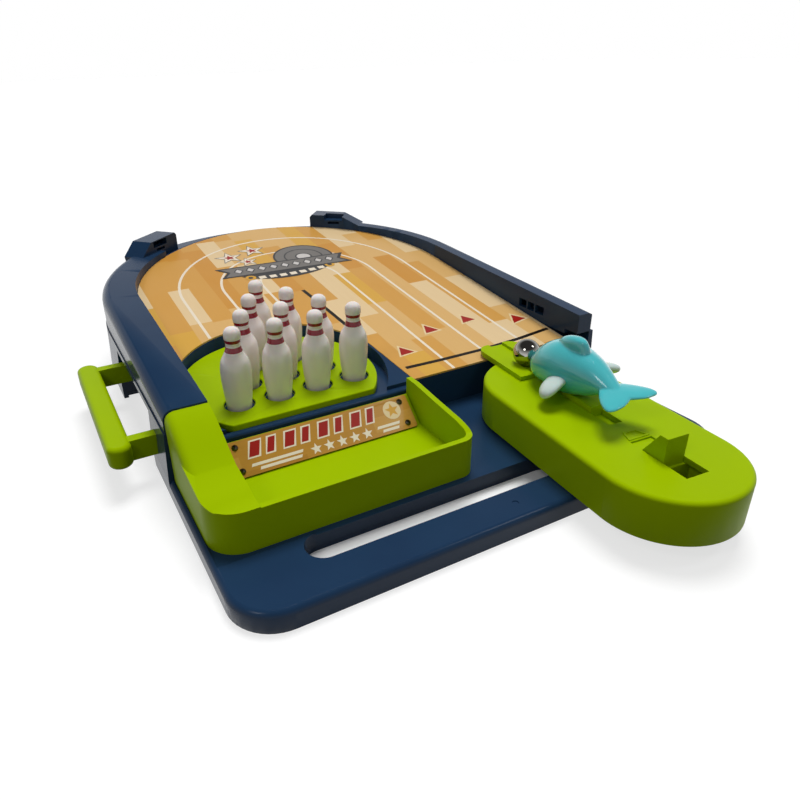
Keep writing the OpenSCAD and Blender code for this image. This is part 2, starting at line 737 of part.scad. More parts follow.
module pivot_screw() color(steel) aimed() translate([0, 0, 14.2]) difference() {
    union() {
        cylinder(d = 6.4, h = 1.8);
        translate([0, 0, -8]) cylinder(d = 2.8, h = 8.5);
    }
    for (a = [0, 90]) rotate([0, 0, a]) translate([-1.8, -0.35, 1]) cube([3.6, 0.7, 2]);
}

module launcher_screws() color(steel) aimed()
    for (p = launcher_screw_spots) translate([p[0], p[1], launch_z0 + 0.1]) screw(2.5, 5, 0.8, 9);

// the launcher's upper shell with the ball's nose piece
nose_w = 22;
nose_y1 = 42.5;
nose_z = 28.4;
module launcher_top() color(lime) aimed() difference() {
    union() {
        difference() {
            shell_body();
            difference() {
                translate([0, 0, -0.05]) shell_body(shell_t);
                for (p = launcher_screw_spots)
                    translate([p[0], p[1], launch_z0 + cover_t + 0.1]) cylinder(d = 6, h = 40);
                // ribs that guide the carriage
                for (s = [-1, 1]) translate([s * (rod_w / 2 + slide_gap + 0.8) - 0.8, -launch_l - 14, rod_z0 + 3])
                    cube([1.6, 61, 20]);
                for (y = [-86, 15]) translate([-launch_r, y, rod_z1]) cube([2 * launch_r, 1.6, 20]);
            }
        }
        // nose that reaches over the edge of the lane
        translate([-nose_w / 2, 8, launch_z - 0.4]) cube([nose_w, nose_y1 - 14, nose_z - launch_z + 0.4]);
        translate([-nose_w / 2 + 6, nose_y1 - 8, launch_z + 0.15]) cube([nose_w - 12, 8, nose_z - launch_z - 0.15]);
        translate([-nose_w / 2, 5.5, launch_z + 0.15]) cube([nose_w, nose_y1 - 11.5, nose_z - launch_z - 0.15]);
        for (s = [-1, 1]) translate([s * (nose_w / 2 - 6), nose_y1 - 6, launch_z + 0.15])
            cylinder(r = 6, h = nose_z - launch_z - 0.15);
        // raised outline in front of the thumb slot
        translate([0, slot_y1 + 3.4, launch_z - 0.5]) linear_extrude(0.9) difference() {
            polygon([[-5, -2.6], [5, -2.6], [3, 2.8], [-3, 2.8]]);
            polygon([[-4, -1.9], [4, -1.9], [2.4, 2.1], [-2.4, 2.1]]);
        }
    }
    // groove and seat for the ball
    translate([-4, 2, nose_z - 1.25]) cube([8, 60, 5]);
    // thumb slot and the slot for the dolphin's stem
    translate([-slot_w / 2, slot_y0, launch_z - 6]) cube([slot_w, slot_y1 - slot_y0, 12]);
    translate([-3.3, post_y0 - pull - 0.6, launch_z - 6]) cube([6.6, post_y1 - post_y0 + pull + 1.2, 12]);
    for (p = launcher_screw_spots) translate([p[0], p[1], launch_z0]) cylinder(d = 2.56, h = 10.5);
}

// sliding piece with the thumb tab, the spring's spigot and the dolphin's stem
module carriage() color(lime) aimed() difference() {
    union() {
        translate([-rod_w / 2, slot_y1 - 17, rod_z0]) cube([rod_w, rod_y1 - slot_y1 + 17, rod_z1 - rod_z0]);
        // block that fills the front of the thumb slot
        translate([-slot_w / 2 + slide_gap, slot_y1 - 16, rod_z1 - 1])
            cube([slot_w - 2 * slide_gap, 16 - slide_gap, launch_z - 0.6 - rod_z1 + 1]);
        // wedge shaped tab
        translate([slot_w / 2 - slide_gap, 0, 0]) rotate([90, 0, -90]) linear_extrude(slot_w - 2 * slide_gap)
            polygon([
                [-slot_y1 + 4.6, launch_z - 2], [-slot_y1 + 12.4, launch_z + 9.7],
                [-slot_y1 + 16, launch_z + 9.7], [-slot_y1 + 16, launch_z - 2]
            ]);
        translate([-2.9, post_y0, rod_z1 - 1]) cube([5.8, post_y1 - post_y0, launch_z + 3.4 - rod_z1]);
        translate([0, slot_y1 - 17, coil_z]) rotate([90, 0, 0]) cylinder(d = 5, h = 5);
    }
    // lightening pockets from below
    for (y = [-48, -34, -22]) translate([-rod_w / 2 + 2, y, rod_z0 - 1]) cube([rod_w - 4, 9, 6]);
}

// tube swept along a helix, closed at both ends, along +Z from the origin
module coil(d, wire, length, curls) {
    rings = curls * 8 + 1;
    turn = 360 / 8;
    slope = atan(length / curls / (PI * d));
    points = [for (i = [0 : rings - 1], j = [0 : 5])
        let (a = i * turn, z = length * i / (rings - 1), b = j * 60, u = cos(b) * wire / 2, v = sin(b) * wire / 2)
        [
            (d / 2 + u) * cos(a) + v * sin(slope) * sin(a),
            (d / 2 + u) * sin(a) - v * sin(slope) * cos(a),
            z + v * cos(slope)
        ]];
    faces = concat(
        [[for (j = [0 : 5]) j]],
        [for (i = [0 : rings - 2], j = [0 : 5]) [i * 6 + j, i * 6 + 6 + j, i * 6 + 6 + (j + 1) % 6]],
        [for (i = [0 : rings - 2], j = [0 : 5]) [i * 6 + j, i * 6 + 6 + (j + 1) % 6, i * 6 + (j + 1) % 6]],
        [[for (j = [5 : -1 : 0]) (rings - 1) * 6 + j]]
    );
    polyhedron(points, faces);
    echo("gap between curls", length / curls * cos(slope) - wire);
}

// compression spring behind the carriage
coil_y0 = -launch_l - launch_r + shell_t + 1;
module striker_spring() color(steel) aimed() translate([0, slot_y1 - 17.5, coil_z]) rotate([90, 0, 0])
    coil(7, 0.8, slot_y1 - 17.5 - coil_y0 - 0.5, 9);

// smooth body lofted through round stations: place along Y, height, half width, half height
function smooth(a, b, c, d, t) = b + 0.5 * t * (c - a + t * (2 * a - 5 * b + 4 * c - d + t * (3 * (b - c) + d - a)));
module loft(stations, steps = 3, sides = 24) {
    last = len(stations) - 1;
    rows = [for (i = [0 : last - 1], k = [0 : steps - 1])
        [for (m = [0 : 3])
            smooth(stations[max(i - 1, 0)][m], stations[i][m], stations[i + 1][m], stations[min(i + 2, last)][m], k / steps)]];
    all = concat(rows, [stations[last]]);
    points = [for (q = all, j = [0 : sides - 1])
        [-q[2] * sin(j * 360 / sides), q[0], q[1] + q[3] * cos(j * 360 / sides)]];
    n = len(all);
    faces = concat(
        [[for (j = [0 : sides - 1]) j]],
        [for (i = [0 : n - 2], j = [0 : sides - 1])
            [i * sides + j, (i + 1) * sides + j, (i + 1) * sides + (j + 1) % sides, i * sides + (j + 1) % sides]],
        [[for (j = [sides - 1 : -1 : 0]) (n - 1) * sides + j]]
    );
    polyhedron(points, faces);
}

// stations of the dolphin's body from the beak to the root of the tail, from the pivot and the launcher's top
dolphin_rows = [
    [9.4, 6.2, 0.6, 0.6], [9, 6.3, 2.6, 2.4], [8, 7.2, 4.6, 4.2], [5.6, 8.4, 7.2, 6], [2, 9.6, 9.2, 8.8],
    [-3, 11.2, 10.4, 10.4], [-9, 12.2, 10.8, 11.4], [-15, 12.5, 10.4, 11.3], [-21, 13.1, 9.2, 10.1],
    [-27, 13.6, 7.6, 8.2], [-33, 14, 5.7, 6], [-38, 14, 4, 4.1], [-42, 13.9, 2.8, 2.7]
];
// half the outline of the tail flukes seen from above, from the notch round to the root
fluke_edge = [
    [2.2, -48.6], [5, -49.7], [8.5, -50], [11.3, -49.3], [12, -47.5], [10.8, -44.5], [9, -41], [6, -37.5], [3, -35.5]
];
// the dolphin leans a few degrees to the left about its length
module leaning() translate([0, 0, launch_z + 11]) rotate([0, -6.4, 0]) translate([0, 0, -11]) children();
module dolphin_body() color("#3fb4bd") aimed() difference() {
    leaning() {
        loft(dolphin_rows);
        // fin on the back
        hull() {
            translate([0, -8.4, 20]) sphere(r = 3, $fn = 24);
            translate([0, -21, 19.4]) sphere(r = 3, $fn = 24);
            translate([0, -11.4, 23.6]) sphere(r = 2.2, $fn = 24);
            translate([0, -18.6, 25.7]) sphere(r = 2.1, $fn = 24);
            translate([0, -20.4, 24.9]) sphere(r = 1.9, $fn = 24);
        }
        // tail flukes
        translate([0, 0, 11.9]) linear_extrude(2.2) polygon(concat(
            [[0, -46.9]], fluke_edge, [[0, -35]],
            [for (i = [len(fluke_edge) - 1 : -1 : 0]) [-fluke_edge[i][0], fluke_edge[i][1]]]
        ));
    }
    // socket for the stem of the carriage
    translate([-3, post_y0 - 0.1, launch_z]) cube([6, post_y1 - post_y0 + 0.2, 4.6]);
}

// the pair of flippers
module flippers() color("#e6eaea") aimed() difference() {
    for (s = [-1, 1]) leaning() hull() {
        translate([s * 8, -11.6, 11.7]) sphere(r = 2.4, $fn = 24);
        translate([s * 8, -20.2, 10.1]) sphere(r = 2.2, $fn = 24);
        translate([s * 15, -15.8, 11]) sphere(r = 2.3, $fn = 24);
        translate([s * 17.6, -18.4, 9.7]) sphere(r = 2.3, $fn = 24);
        translate([s * 15.2, -21.4, 8.8]) sphere(r = 2, $fn = 24);
    }
    leaning() loft(dolphin_rows);
}

module ball() color("#c9ccd0") aimed()
    translate([0, 17.2, nose_z - 1.25 + ball_d / 2 + 0.02]) sphere(d = ball_d, $fn = 64);

// handle: a bar beside the base and two arms that slide into the housings
handle_x = -half_w - handle_out;
module bar_profile(r = 2.2) {
    translate([0, -5 + r]) square([5, 10 - 2 * r]);
    translate([0, -5]) square([5 - r, 10]);
    for (z = [-5 + r, 5 - r]) intersection() {
        translate([5 - r, z]) circle(r = r, $fn = 32);
        translate([0, -20]) square([40, 40]);
    }
}
module handle() color(lime) placed() difference() {
    union() {
        difference() {
            translate([handle_x + 5, handle_y0 + 5, handle_z]) {
                for (y = [0, handle_l - 10]) translate([0, y, 0]) rotate_extrude() bar_profile();
                for (k = [0, 1]) mirror([k, 0, 0]) translate([0, handle_l - 10, 0]) rotate([90, 0, 0])
                    linear_extrude(handle_l - 10) bar_profile();
            }
            // the grip is open from below
            translate([handle_x + 5, handle_y0 + 5, handle_z - 6]) linear_extrude(9) {
                for (y = [0, handle_l - 10]) translate([0, y]) circle(r = 3);
                translate([-3, 0]) square([6, handle_l - 10]);
            }
        }
        for (y = arm_ys) {
            translate([handle_x + 5, y, arm_z0]) cube([-handle_x - 5 + arch_x + 1.5, arm_t, arm_z1 - arm_z0]);
            translate([handle_x + 5, y, arm_z0]) cube([bar_x - handle_x - 5, arm_t, inner_z1 - arm_z0]);
        }
    }
    for (y = arm_ys) translate([bar_x - 9, y + arm_t / 2, spring_z]) rotate([0, 90, 0]) cylinder(d = 2.2, h = 10);
}

// bar inside that joins the arms and draws the pins back down
module reset_bar() color("#2b2b2b") placed() difference() {
    union() {
        translate([bar_x, arm_ys[0] - 3, arm_z0]) cube([bar_w, arm_ys[1] + arm_t - arm_ys[0] + 6, inner_z1 - arm_z0]);
    }
    for (y = arm_ys) translate([bar_x - 1, y + arm_t / 2, spring_z]) rotate([0, 90, 0]) {
        cylinder(d = 2.4, h = bar_w + 2);
        translate([0, 0, bar_w - 0.6]) cylinder(d = 4.6, h = 3);
    }
    for (y = spring_ys) translate([bar_x - 1, y, spring_z]) rotate([0, 90, 0]) cylinder(d = 1.6, h = bar_w + 2);
    // notches for the pins' cords
    for (y = [arm_ys[0] + 10 : 5 : arm_ys[1] - 12]) translate([bar_x - 1, y, inner_z1 - 1.2]) cube([bar_w + 2, 1, 2]);
}

module slider_screws() color(steel) placed()
    for (y = arm_ys) translate([bar_x + bar_w - 0.2, y + arm_t / 2, spring_z]) rotate([0, -90, 0]) screw(2.1, 4.2, 1.2, 15);

// springs that pull the handle home
module return_spring(y) color(steel) placed() translate([bar_x + bar_w + 0.3, y, spring_z]) rotate([0, 90, 0])
    coil(5, 0.7, spring_x1 - bar_x - bar_w - 0.6, 16);
module return_spring_front() return_spring(spring_ys[0]);
module return_spring_rear() return_spring(spring_ys[1]);

base_shell();
bottom_plate();
bottom_screws();
upper_deck();
lane_sheet();
tray();
tray_screws();
ramp_plate();
ramp_rivets();
pin_plate();
pin_1();
pin_2();
pin_3();
pin_4();
pin_5();
pin_6();
pin_7();
pin_8();
pin_9();
pin_10();
launcher_cover();
pivot_washer();
pivot_screw();
launcher_top();
launcher_screws();
carriage();
striker_spring();
dolphin_body();
flippers();
ball();
handle();
reset_bar();
slider_screws();
return_spring_front();
return_spring_rear();
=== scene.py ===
import math

import bpy
from mathutils import Matrix, Vector


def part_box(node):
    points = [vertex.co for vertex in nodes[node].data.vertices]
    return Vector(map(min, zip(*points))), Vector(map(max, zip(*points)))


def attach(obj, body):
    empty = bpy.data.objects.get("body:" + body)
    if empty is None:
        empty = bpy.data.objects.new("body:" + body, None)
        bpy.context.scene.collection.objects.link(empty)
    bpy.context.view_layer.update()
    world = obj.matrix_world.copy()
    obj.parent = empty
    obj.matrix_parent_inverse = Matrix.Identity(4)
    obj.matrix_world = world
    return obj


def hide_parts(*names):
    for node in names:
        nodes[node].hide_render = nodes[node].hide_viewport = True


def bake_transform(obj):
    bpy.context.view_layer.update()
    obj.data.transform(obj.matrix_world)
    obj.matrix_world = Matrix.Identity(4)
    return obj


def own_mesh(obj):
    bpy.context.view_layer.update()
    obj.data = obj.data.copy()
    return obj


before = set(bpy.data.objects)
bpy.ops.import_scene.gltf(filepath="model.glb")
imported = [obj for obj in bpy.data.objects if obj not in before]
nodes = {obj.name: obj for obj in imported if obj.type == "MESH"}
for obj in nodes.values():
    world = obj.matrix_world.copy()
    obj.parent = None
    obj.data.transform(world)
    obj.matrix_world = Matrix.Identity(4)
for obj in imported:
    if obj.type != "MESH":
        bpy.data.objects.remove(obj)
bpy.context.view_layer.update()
print("frame loaded")

mm = 0.001
scene = bpy.context.scene
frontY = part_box("base_shell")[0][1]  # the player's edge of the base


# Millimetres from the middle of the player's edge, to metres in the frame
def atFront(x, y, z):
    return Vector((x * mm, frontY + y * mm, z * mm))


# Opaque linear colour from an sRGB hex value
def linearColor(hexText):
    parts = [int(hexText[i:i + 2], 16) / 255 for i in (1, 3, 5)]
    return tuple(c / 12.92 if c <= 0.04045 else ((c + 0.055) / 1.055) ** 2.4 for c in parts) + (1.0,)


# Adds one node: settings are properties or socket values, links are what feeds its sockets
def addNode(tree, kind, settings=None, links=None):
    made = tree.nodes.new(kind)
    for name, value in (settings or {}).items():
        if isinstance(name, int) or name in made.inputs:
            made.inputs[name].default_value = value
        else:
            setattr(made, name, value)
    for name, socket in (links or {}).items():
        tree.links.new(socket, made.inputs[name])
    return made


def newMaterial(name):
    material = bpy.data.materials.new(name)
    material.use_nodes = True
    material.node_tree.nodes.clear()
    return material, material.node_tree


# Moulded plastic: fine orange peel, faint flow mottling and slightly uneven gloss; all sizes are in metres
plasticMakeup = {
    "mottleDetail": 3.0, "peelDetail": 2.0, "peelDepth": 0.0001, "glossLow": 0.85, "glossHigh": 1.2, "ior": 1.5,
    "shine": 0.5, "shineTone": "#ffffff", "coat": 0.0, "coatRough": 0.06, "glow": 0.0, "glowDepth": 0.002,
}


def plasticMaterial(name, look):
    look = {**plasticMakeup, **look}
    material, tree = newMaterial(name)
    point = addNode(tree, "ShaderNodeTexCoord").outputs["Object"]
    mottle = addNode(
        tree, "ShaderNodeTexNoise", {"Scale": 1 / look["mottleSize"], "Detail": look["mottleDetail"]},
        {"Vector": point}
    )
    tone = addNode(
        tree, "ShaderNodeMix", {"data_type": "RGBA", 6: linearColor(look["dark"]), 7: linearColor(look["light"])},
        {0: mottle.outputs["Fac"]}
    )
    gloss = addNode(
        tree, "ShaderNodeMapRange",
        {"To Min": look["rough"] * look["glossLow"], "To Max": look["rough"] * look["glossHigh"]},
        {"Value": mottle.outputs["Fac"]}
    )
    peel = addNode(
        tree, "ShaderNodeTexNoise", {"Scale": 1 / look["peelSize"], "Detail": look["peelDetail"]}, {"Vector": point}
    )
    bump = addNode(
        tree, "ShaderNodeBump", {"Strength": look["peel"], "Distance": look["peelDepth"]},
        {"Height": peel.outputs["Fac"]}
    )
    shader = addNode(
        tree, "ShaderNodeBsdfPrincipled",
        {"IOR": look["ior"], "Specular IOR Level": look["shine"], "Specular Tint": linearColor(look["shineTone"]),
         "Coat Weight": look["coat"], "Coat Roughness": look["coatRough"],
         "Subsurface Weight": look["glow"], "Subsurface Scale": look["glowDepth"]},
        {"Base Color": tone.outputs[2], "Roughness": gloss.outputs[0], "Normal": bump.outputs[0]}
    )
    addNode(tree, "ShaderNodeOutputMaterial", {}, {"Surface": shader.outputs[0]})
    return material


# Bare metal with grain in its tone and gloss; real grain is finer, and is drawn as coarse as it needs to show
metalMakeup = {"grainDetail": 4.0, "glossLow": 0.7, "glossHigh": 1.3}


def metalMaterial(name, look):
    look = {**metalMakeup, **look}
    material, tree = newMaterial(name)
    point = addNode(tree, "ShaderNodeTexCoord").outputs["Object"]
    grain = addNode(
        tree, "ShaderNodeTexNoise", {"Scale": 1 / look["grainSize"], "Detail": look["grainDetail"]}, {"Vector": point}
    )
    tone = addNode(
        tree, "ShaderNodeMix", {"data_type": "RGBA", 6: linearColor(look["dark"]), 7: linearColor(look["light"])},
        {0: grain.outputs["Fac"]}
    )
    gloss = addNode(
        tree, "ShaderNodeMapRange",
        {"To Min": look["rough"] * look["glossLow"], "To Max": look["rough"] * look["glossHigh"]},
        {"Value": grain.outputs["Fac"]}
    )
    shader = addNode(
        tree, "ShaderNodeBsdfPrincipled", {"Metallic": 1.0},
        {"Base Color": tone.outputs[2], "Roughness": gloss.outputs[0]}
    )
    addNode(tree, "ShaderNodeOutputMaterial", {}, {"Surface": shader.outputs[0]})
    return material


# Printed wood: staggered blocks in a few tones with grain along them, under a gloss film
woodMakeup = {"grainDetail": 4.0, "cloudSize": 0.04, "cloudDetail": 2.0, "cloudShare": 0.18, "ior": 1.45}


def woodPrintMaterial(name, look):
    look = {**woodMakeup, **look}
    material, tree = newMaterial(name)
    point = addNode(tree, "ShaderNodeTexCoord").outputs["Object"]
    axes = addNode(tree, "ShaderNodeSeparateXYZ", {}, {0: point})
    perPlank = addNode(
        tree, "ShaderNodeMath", {"operation": "DIVIDE", 1: look["plankWide"]}, {0: axes.outputs[look["acrossAxis"]]}
    )
    column = addNode(tree, "ShaderNodeMath", {"operation": "FLOOR"}, {0: perPlank.outputs[0]})
    shift = addNode(tree, "ShaderNodeTexWhiteNoise", {"noise_dimensions": "1D"}, {"W": column.outputs[0]})
    perBlock = addNode(
        tree, "ShaderNodeMath", {"operation": "DIVIDE", 1: look["plankLong"]}, {0: axes.outputs[look["alongAxis"]]}
    )
    staggered = addNode(
        tree, "ShaderNodeMath", {"operation": "ADD"}, {0: perBlock.outputs[0], 1: shift.outputs["Value"]}
    )
    row = addNode(tree, "ShaderNodeMath", {"operation": "FLOOR"}, {0: staggered.outputs[0]})
    cell = addNode(tree, "ShaderNodeCombineXYZ", {}, {"X": column.outputs[0], "Y": row.outputs[0]})
    pick = addNode(tree, "ShaderNodeTexWhiteNoise", {"noise_dimensions": "3D"}, {"Vector": cell.outputs[0]})
    ramp = addNode(tree, "ShaderNodeValToRGB", {}, {"Fac": pick.outputs["Value"]})
    ramp.color_ramp.interpolation = "CONSTANT"
    while len(ramp.color_ramp.elements) < len(look["tones"]):
        ramp.color_ramp.elements.new(0.5)
    for element, (place, tone) in zip(ramp.color_ramp.elements, look["tones"]):
        element.position = place
        element.color = linearColor(tone)
    stretched = addNode(tree, "ShaderNodeMapping", {"Scale": look["grainScale"]}, {"Vector": point})
    grain = addNode(
        tree, "ShaderNodeTexNoise", {"Scale": 1.0, "Detail": look["grainDetail"]}, {"Vector": stretched.outputs[0]}
    )
    grainShare = addNode(
        tree, "ShaderNodeMath", {"operation": "MULTIPLY", 1: look["grainStrength"]}, {0: grain.outputs["Fac"]}
    )
    toned = addNode(
        tree, "ShaderNodeMix", {"data_type": "RGBA", 7: linearColor(look["grainTone"])},
        {0: grainShare.outputs[0], 6: ramp.outputs["Color"]}
    )
    cloud = addNode(
        tree, "ShaderNodeTexNoise", {"Scale": 1 / look["cloudSize"], "Detail": look["cloudDetail"]}, {"Vector": point}
    )
    cloudShare = addNode(
        tree, "ShaderNodeMath", {"operation": "MULTIPLY", 1: look["cloudShare"]}, {0: cloud.outputs["Fac"]}
    )
    warm = addNode(
        tree, "ShaderNodeMix", {"data_type": "RGBA", 7: linearColor(look["paleTone"])},
        {0: cloudShare.outputs[0], 6: toned.outputs[2]}
    )
    shader = addNode(
        tree, "ShaderNodeBsdfPrincipled",
        {"Roughness": look["rough"], "IOR": look["ior"], "Specular IOR Level": look["shine"]},
        {"Base Color": warm.outputs[2]}
    )
    addNode(tree, "ShaderNodeOutputMaterial", {}, {"Surface": shader.outputs[0]})
    return material


# ABS, injection moulded in a polished tool: deep navy with clear highlights
navyPlastic = plasticMaterial("ABS moulded gloss navy", {
    "dark": "#1c324f", "light": "#213d5b", "rough": 0.22, "mottleSize": 0.03, "peelSize": 0.0012, "peel": 0.1,
    "shine": 0.17,
})
# ABS, injection moulded in a lightly blasted tool: even lime with soft highlights
limePlastic = plasticMaterial("ABS moulded satin lime", {
    "dark": "#98b600", "light": "#a1bf00", "rough": 0.45, "mottleSize": 0.04, "peelSize": 0.001, "peel": 0.15,
    "shine": 0.1, "shineTone": "#d8ec50",
})
# Polystyrene, injection moulded and polished: warm white, slightly translucent
whitePlastic = plasticMaterial("polystyrene moulded gloss white", {
    "dark": "#f2e8e3", "light": "#f9f1ed", "rough": 0.2, "mottleSize": 0.02, "peelSize": 0.0015, "peel": 0.05,
    "glow": 0.15,
})
# ABS, injection moulded and polished: pale grey with a green cast, the dolphin's flippers
palePlastic = plasticMaterial("ABS moulded gloss pale grey", {
    "dark": "#c8dbd6", "light": "#d6e6e1", "rough": 0.22, "mottleSize": 0.02, "peelSize": 0.0015, "peel": 0.05,
    "glow": 0.08,
})
# Enamel paint, pad printed round the pins' necks: deep crimson, glossy
bandPaint = plasticMaterial("enamel printed gloss crimson", {
    "dark": "#8a1226", "light": "#9c162c", "rough": 0.25, "mottleSize": 0.004, "peelSize": 0.0008, "peel": 0.1,
})
# ABS, injection moulded and polished: pearl turquoise with sharp long highlights
turquoisePlastic = plasticMaterial("ABS polished pearl turquoise", {
    "dark": "#47b8c0", "light": "#5ccfd6", "rough": 0.2, "mottleSize": 0.02, "peelSize": 0.0015, "peel": 0.04,
    "shine": 0.3, "coat": 0.6,
})
# Nylon, moulded: the black bar inside
blackPlastic = plasticMaterial("nylon moulded matt black", {
    "dark": "#1c1c1d", "light": "#262627", "rough": 0.55, "mottleSize": 0.01, "peelSize": 0.0006, "peel": 0.2,
})
# Zinc plated steel, turned and rolled: the screws and washer
zincSteel = metalMaterial("steel zinc plated", {
    "dark": "#84878b", "light": "#b3b6ba", "rough": 0.3, "grainSize": 0.0015,
})
# Steel wire rivets, browned: dark heads with a spot of light
brownSteel = metalMaterial("steel browned rivet", {
    "dark": "#4a443c", "light": "#6c6558", "rough": 0.3, "grainSize": 0.001,
})
# Bearing steel, lapped to a mirror: the ball
ballSteel = metalMaterial("bearing steel lapped mirror", {
    "dark": "#a3a19b", "light": "#b2b0aa", "rough": 0.04, "grainSize": 0.004,
})
# Spring steel, cold drawn: dull grey wire
springSteel = metalMaterial("spring steel cold drawn", {
    "dark": "#7e8186", "light": "#a5a8ad", "rough": 0.3, "grainSize": 0.0008,
})

# Card printed with maple blocks under a gloss film: blocks 12 mm wide and about 45 mm long, grain 1 mm apart, which
# is coarser than print so that it shows
laneBoard = woodPrintMaterial("card printed maple gloss film", {
    "acrossAxis": "X", "alongAxis": "Y", "plankWide": 0.012, "plankLong": 0.045,
    "tones": [(0.0, "#deb26e"), (0.24, "#d59c44"), (0.46, "#e9cea0"), (0.72, "#cf8f2e"), (0.86, "#dba83c")],
    "grainScale": (900.0, 40.0, 100.0), "grainStrength": 0.14, "grainTone": "#b9853f", "paleTone": "#e2c08a",
    "rough": 0.32, "shine": 0.35,
})
# Card printed with oak strips under a gloss film: strips 4.5 mm wide and 30 mm long, grain 1 mm apart
platePrint = woodPrintMaterial("card printed oak gloss film", {
    "acrossAxis": "Z", "alongAxis": "X", "plankWide": 0.0045, "plankLong": 0.03,
    "tones": [(0.0, "#c58c30"), (0.35, "#cf993e"), (0.6, "#b97f26"), (0.85, "#dab05e")],
    "grainScale": (60.0, 900.0, 900.0), "grainStrength": 0.3, "grainTone": "#8a5c14", "paleTone": "#dcb878",
    "rough": 0.25, "shine": 0.4,
})

# Offset printing inks on card: flat colour with faint mottling, named by tone
inks = {}
for inkName, inkTone in (
    ("white", "#efe2cc"), ("cream", "#e7cfa0"), ("black", "#1a1510"), ("red", "#a32017"), ("grey", "#77736f"),
    ("dark", "#3a3a3c"), ("pale", "#cfcac6"), ("gold", "#d9a234"),
):
    inks[inkName] = plasticMaterial("ink printed " + inkName, {
        "dark": inkTone, "light": inkTone, "rough": 0.32, "mottleSize": 0.003, "peelSize": 0.0006, "peel": 0.03,
        "shine": 0.4,
    })
print("materials made")


# Mesh from points and faces; picks gives each face the number of its material
def meshObject(name, points, faces, materials, smooth=False, picks=None):
    mesh = bpy.data.meshes.new(name)
    mesh.from_pydata([tuple(p) for p in points], [], faces)
    for material in materials:
        mesh.materials.append(material)
    for i, polygon in enumerate(mesh.polygons):
        polygon.use_smooth = smooth
        if picks:
            polygon.material_index = picks[i]
    made = bpy.data.objects.new(name, mesh)
    scene.collection.objects.link(made)
    return made


# Turns a piece's modifiers into its own mesh
def applyModifiers(piece):
    evaluated = piece.evaluated_get(bpy.context.evaluated_depsgraph_get())
    fresh = bpy.data.meshes.new_from_object(evaluated)
    old = piece.data
    piece.modifiers.clear()
    piece.data = fresh
    bpy.data.meshes.remove(old)


# A smooth value between stations b and c, with a and d beyond them
def between(a, b, c, d, t):
    return b + 0.5 * t * (c - a + t * (2 * a - 5 * b + 4 * c - d + t * (3 * (b - c) + d - a)))


# Station i, the next one and their neighbours
def spanAt(stations, i):
    return stations[max(i - 1, 0)], stations[i], stations[i + 1], stations[min(i + 2, len(stations) - 1)]


# Faces between neighbouring rings of points
def ringFaces(count, sides):
    return [
        (i * sides + j, i * sides + (j + 1) % sides, (i + 1) * sides + (j + 1) % sides, (i + 1) * sides + j)
        for i in range(count - 1) for j in range(sides)
    ]


# Closed rounded body through oval stations: middle, half axis, other half axis
def ovalLoft(stations, sides, steps=4):
    rows = []
    for i in range(len(stations) - 1):
        span = spanAt(stations, i)
        for k in range(steps):
            rows.append([between(*[Vector(s[m]) for s in span], k / steps) for m in range(3)])
    rows.append([Vector(v) for v in stations[-1]])
    points = []
    for middle, first, second in rows:
        for j in range(sides):
            turn = 2 * math.pi * j / sides
            points.append(middle + first * math.cos(turn) + second * math.sin(turn))
    faces = [tuple(reversed(range(sides)))] + ringFaces(len(rows), sides)
    faces.append(tuple((len(rows) - 1) * sides + j for j in range(sides)))
    return points, faces


# Edges of the CAD nodes, rounded as a mould leaves them; widths in metres, angles in degrees
edgeLook = {
    "widths": {
        "upper_deck": 0.0005, "base_shell": 0.0004, "tray": 0.001, "pin_plate": 0.0005, "handle": 0.0003,
        "launcher_top": 0.0003, "carriage": 0.0004, "launcher_cover": 0.0003, "ramp_plate": 0.00015,
    },
    "weld": 0.00001, "segments": 2, "angle": 35, "creased": ["tray"], "creaseAngle": 25,
}


# Shades the shallow creases of a faceted CAD node smooth and leaves its corners sharp
def smoothCreases(name, angle):
    group = bpy.data.node_groups.new("smooth creases " + name, "GeometryNodeTree")
    group.interface.new_socket("Geometry", in_out="INPUT", socket_type="NodeSocketGeometry")
    group.interface.new_socket("Geometry", in_out="OUTPUT", socket_type="NodeSocketGeometry")
    given = addNode(group, "NodeGroupInput")
    crease = addNode(group, "GeometryNodeInputMeshEdgeAngle")
    sharp = addNode(
        group, "FunctionNodeCompare", {"data_type": "FLOAT", "operation": "GREATER_THAN", "B": math.radians(angle)},
        {"A": crease.outputs["Unsigned Angle"]}
    )
    cleared = addNode(
        group, "GeometryNodeSetMeshNormal", {"mode": "SHARPNESS"},
        {"Mesh": given.outputs[0], "Edge Sharpness": sharp.outputs[0]}
    )
    addNode(group, "NodeGroupOutput", {}, {0: cleared.outputs[0]})
    creases = nodes[name].modifiers.new("smooth creases", "NODES")
    creases.node_group = group


# Merges doubled points and rounds the sharp edges
def softEdges(name, look):
    weld = nodes[name].modifiers.new("weld", "WELD")
    weld.merge_threshold = look["weld"]
    if name in look["creased"]:
        smoothCreases(name, look["creaseAngle"])
    bevel = nodes[name].modifiers.new("soft edges", "BEVEL")
    bevel.width = look["widths"][name]
    bevel.segments = look["segments"]
    bevel.limit_method = "ANGLE"
    bevel.angle_limit = math.radians(look["angle"])
    bevel.harden_normals = True


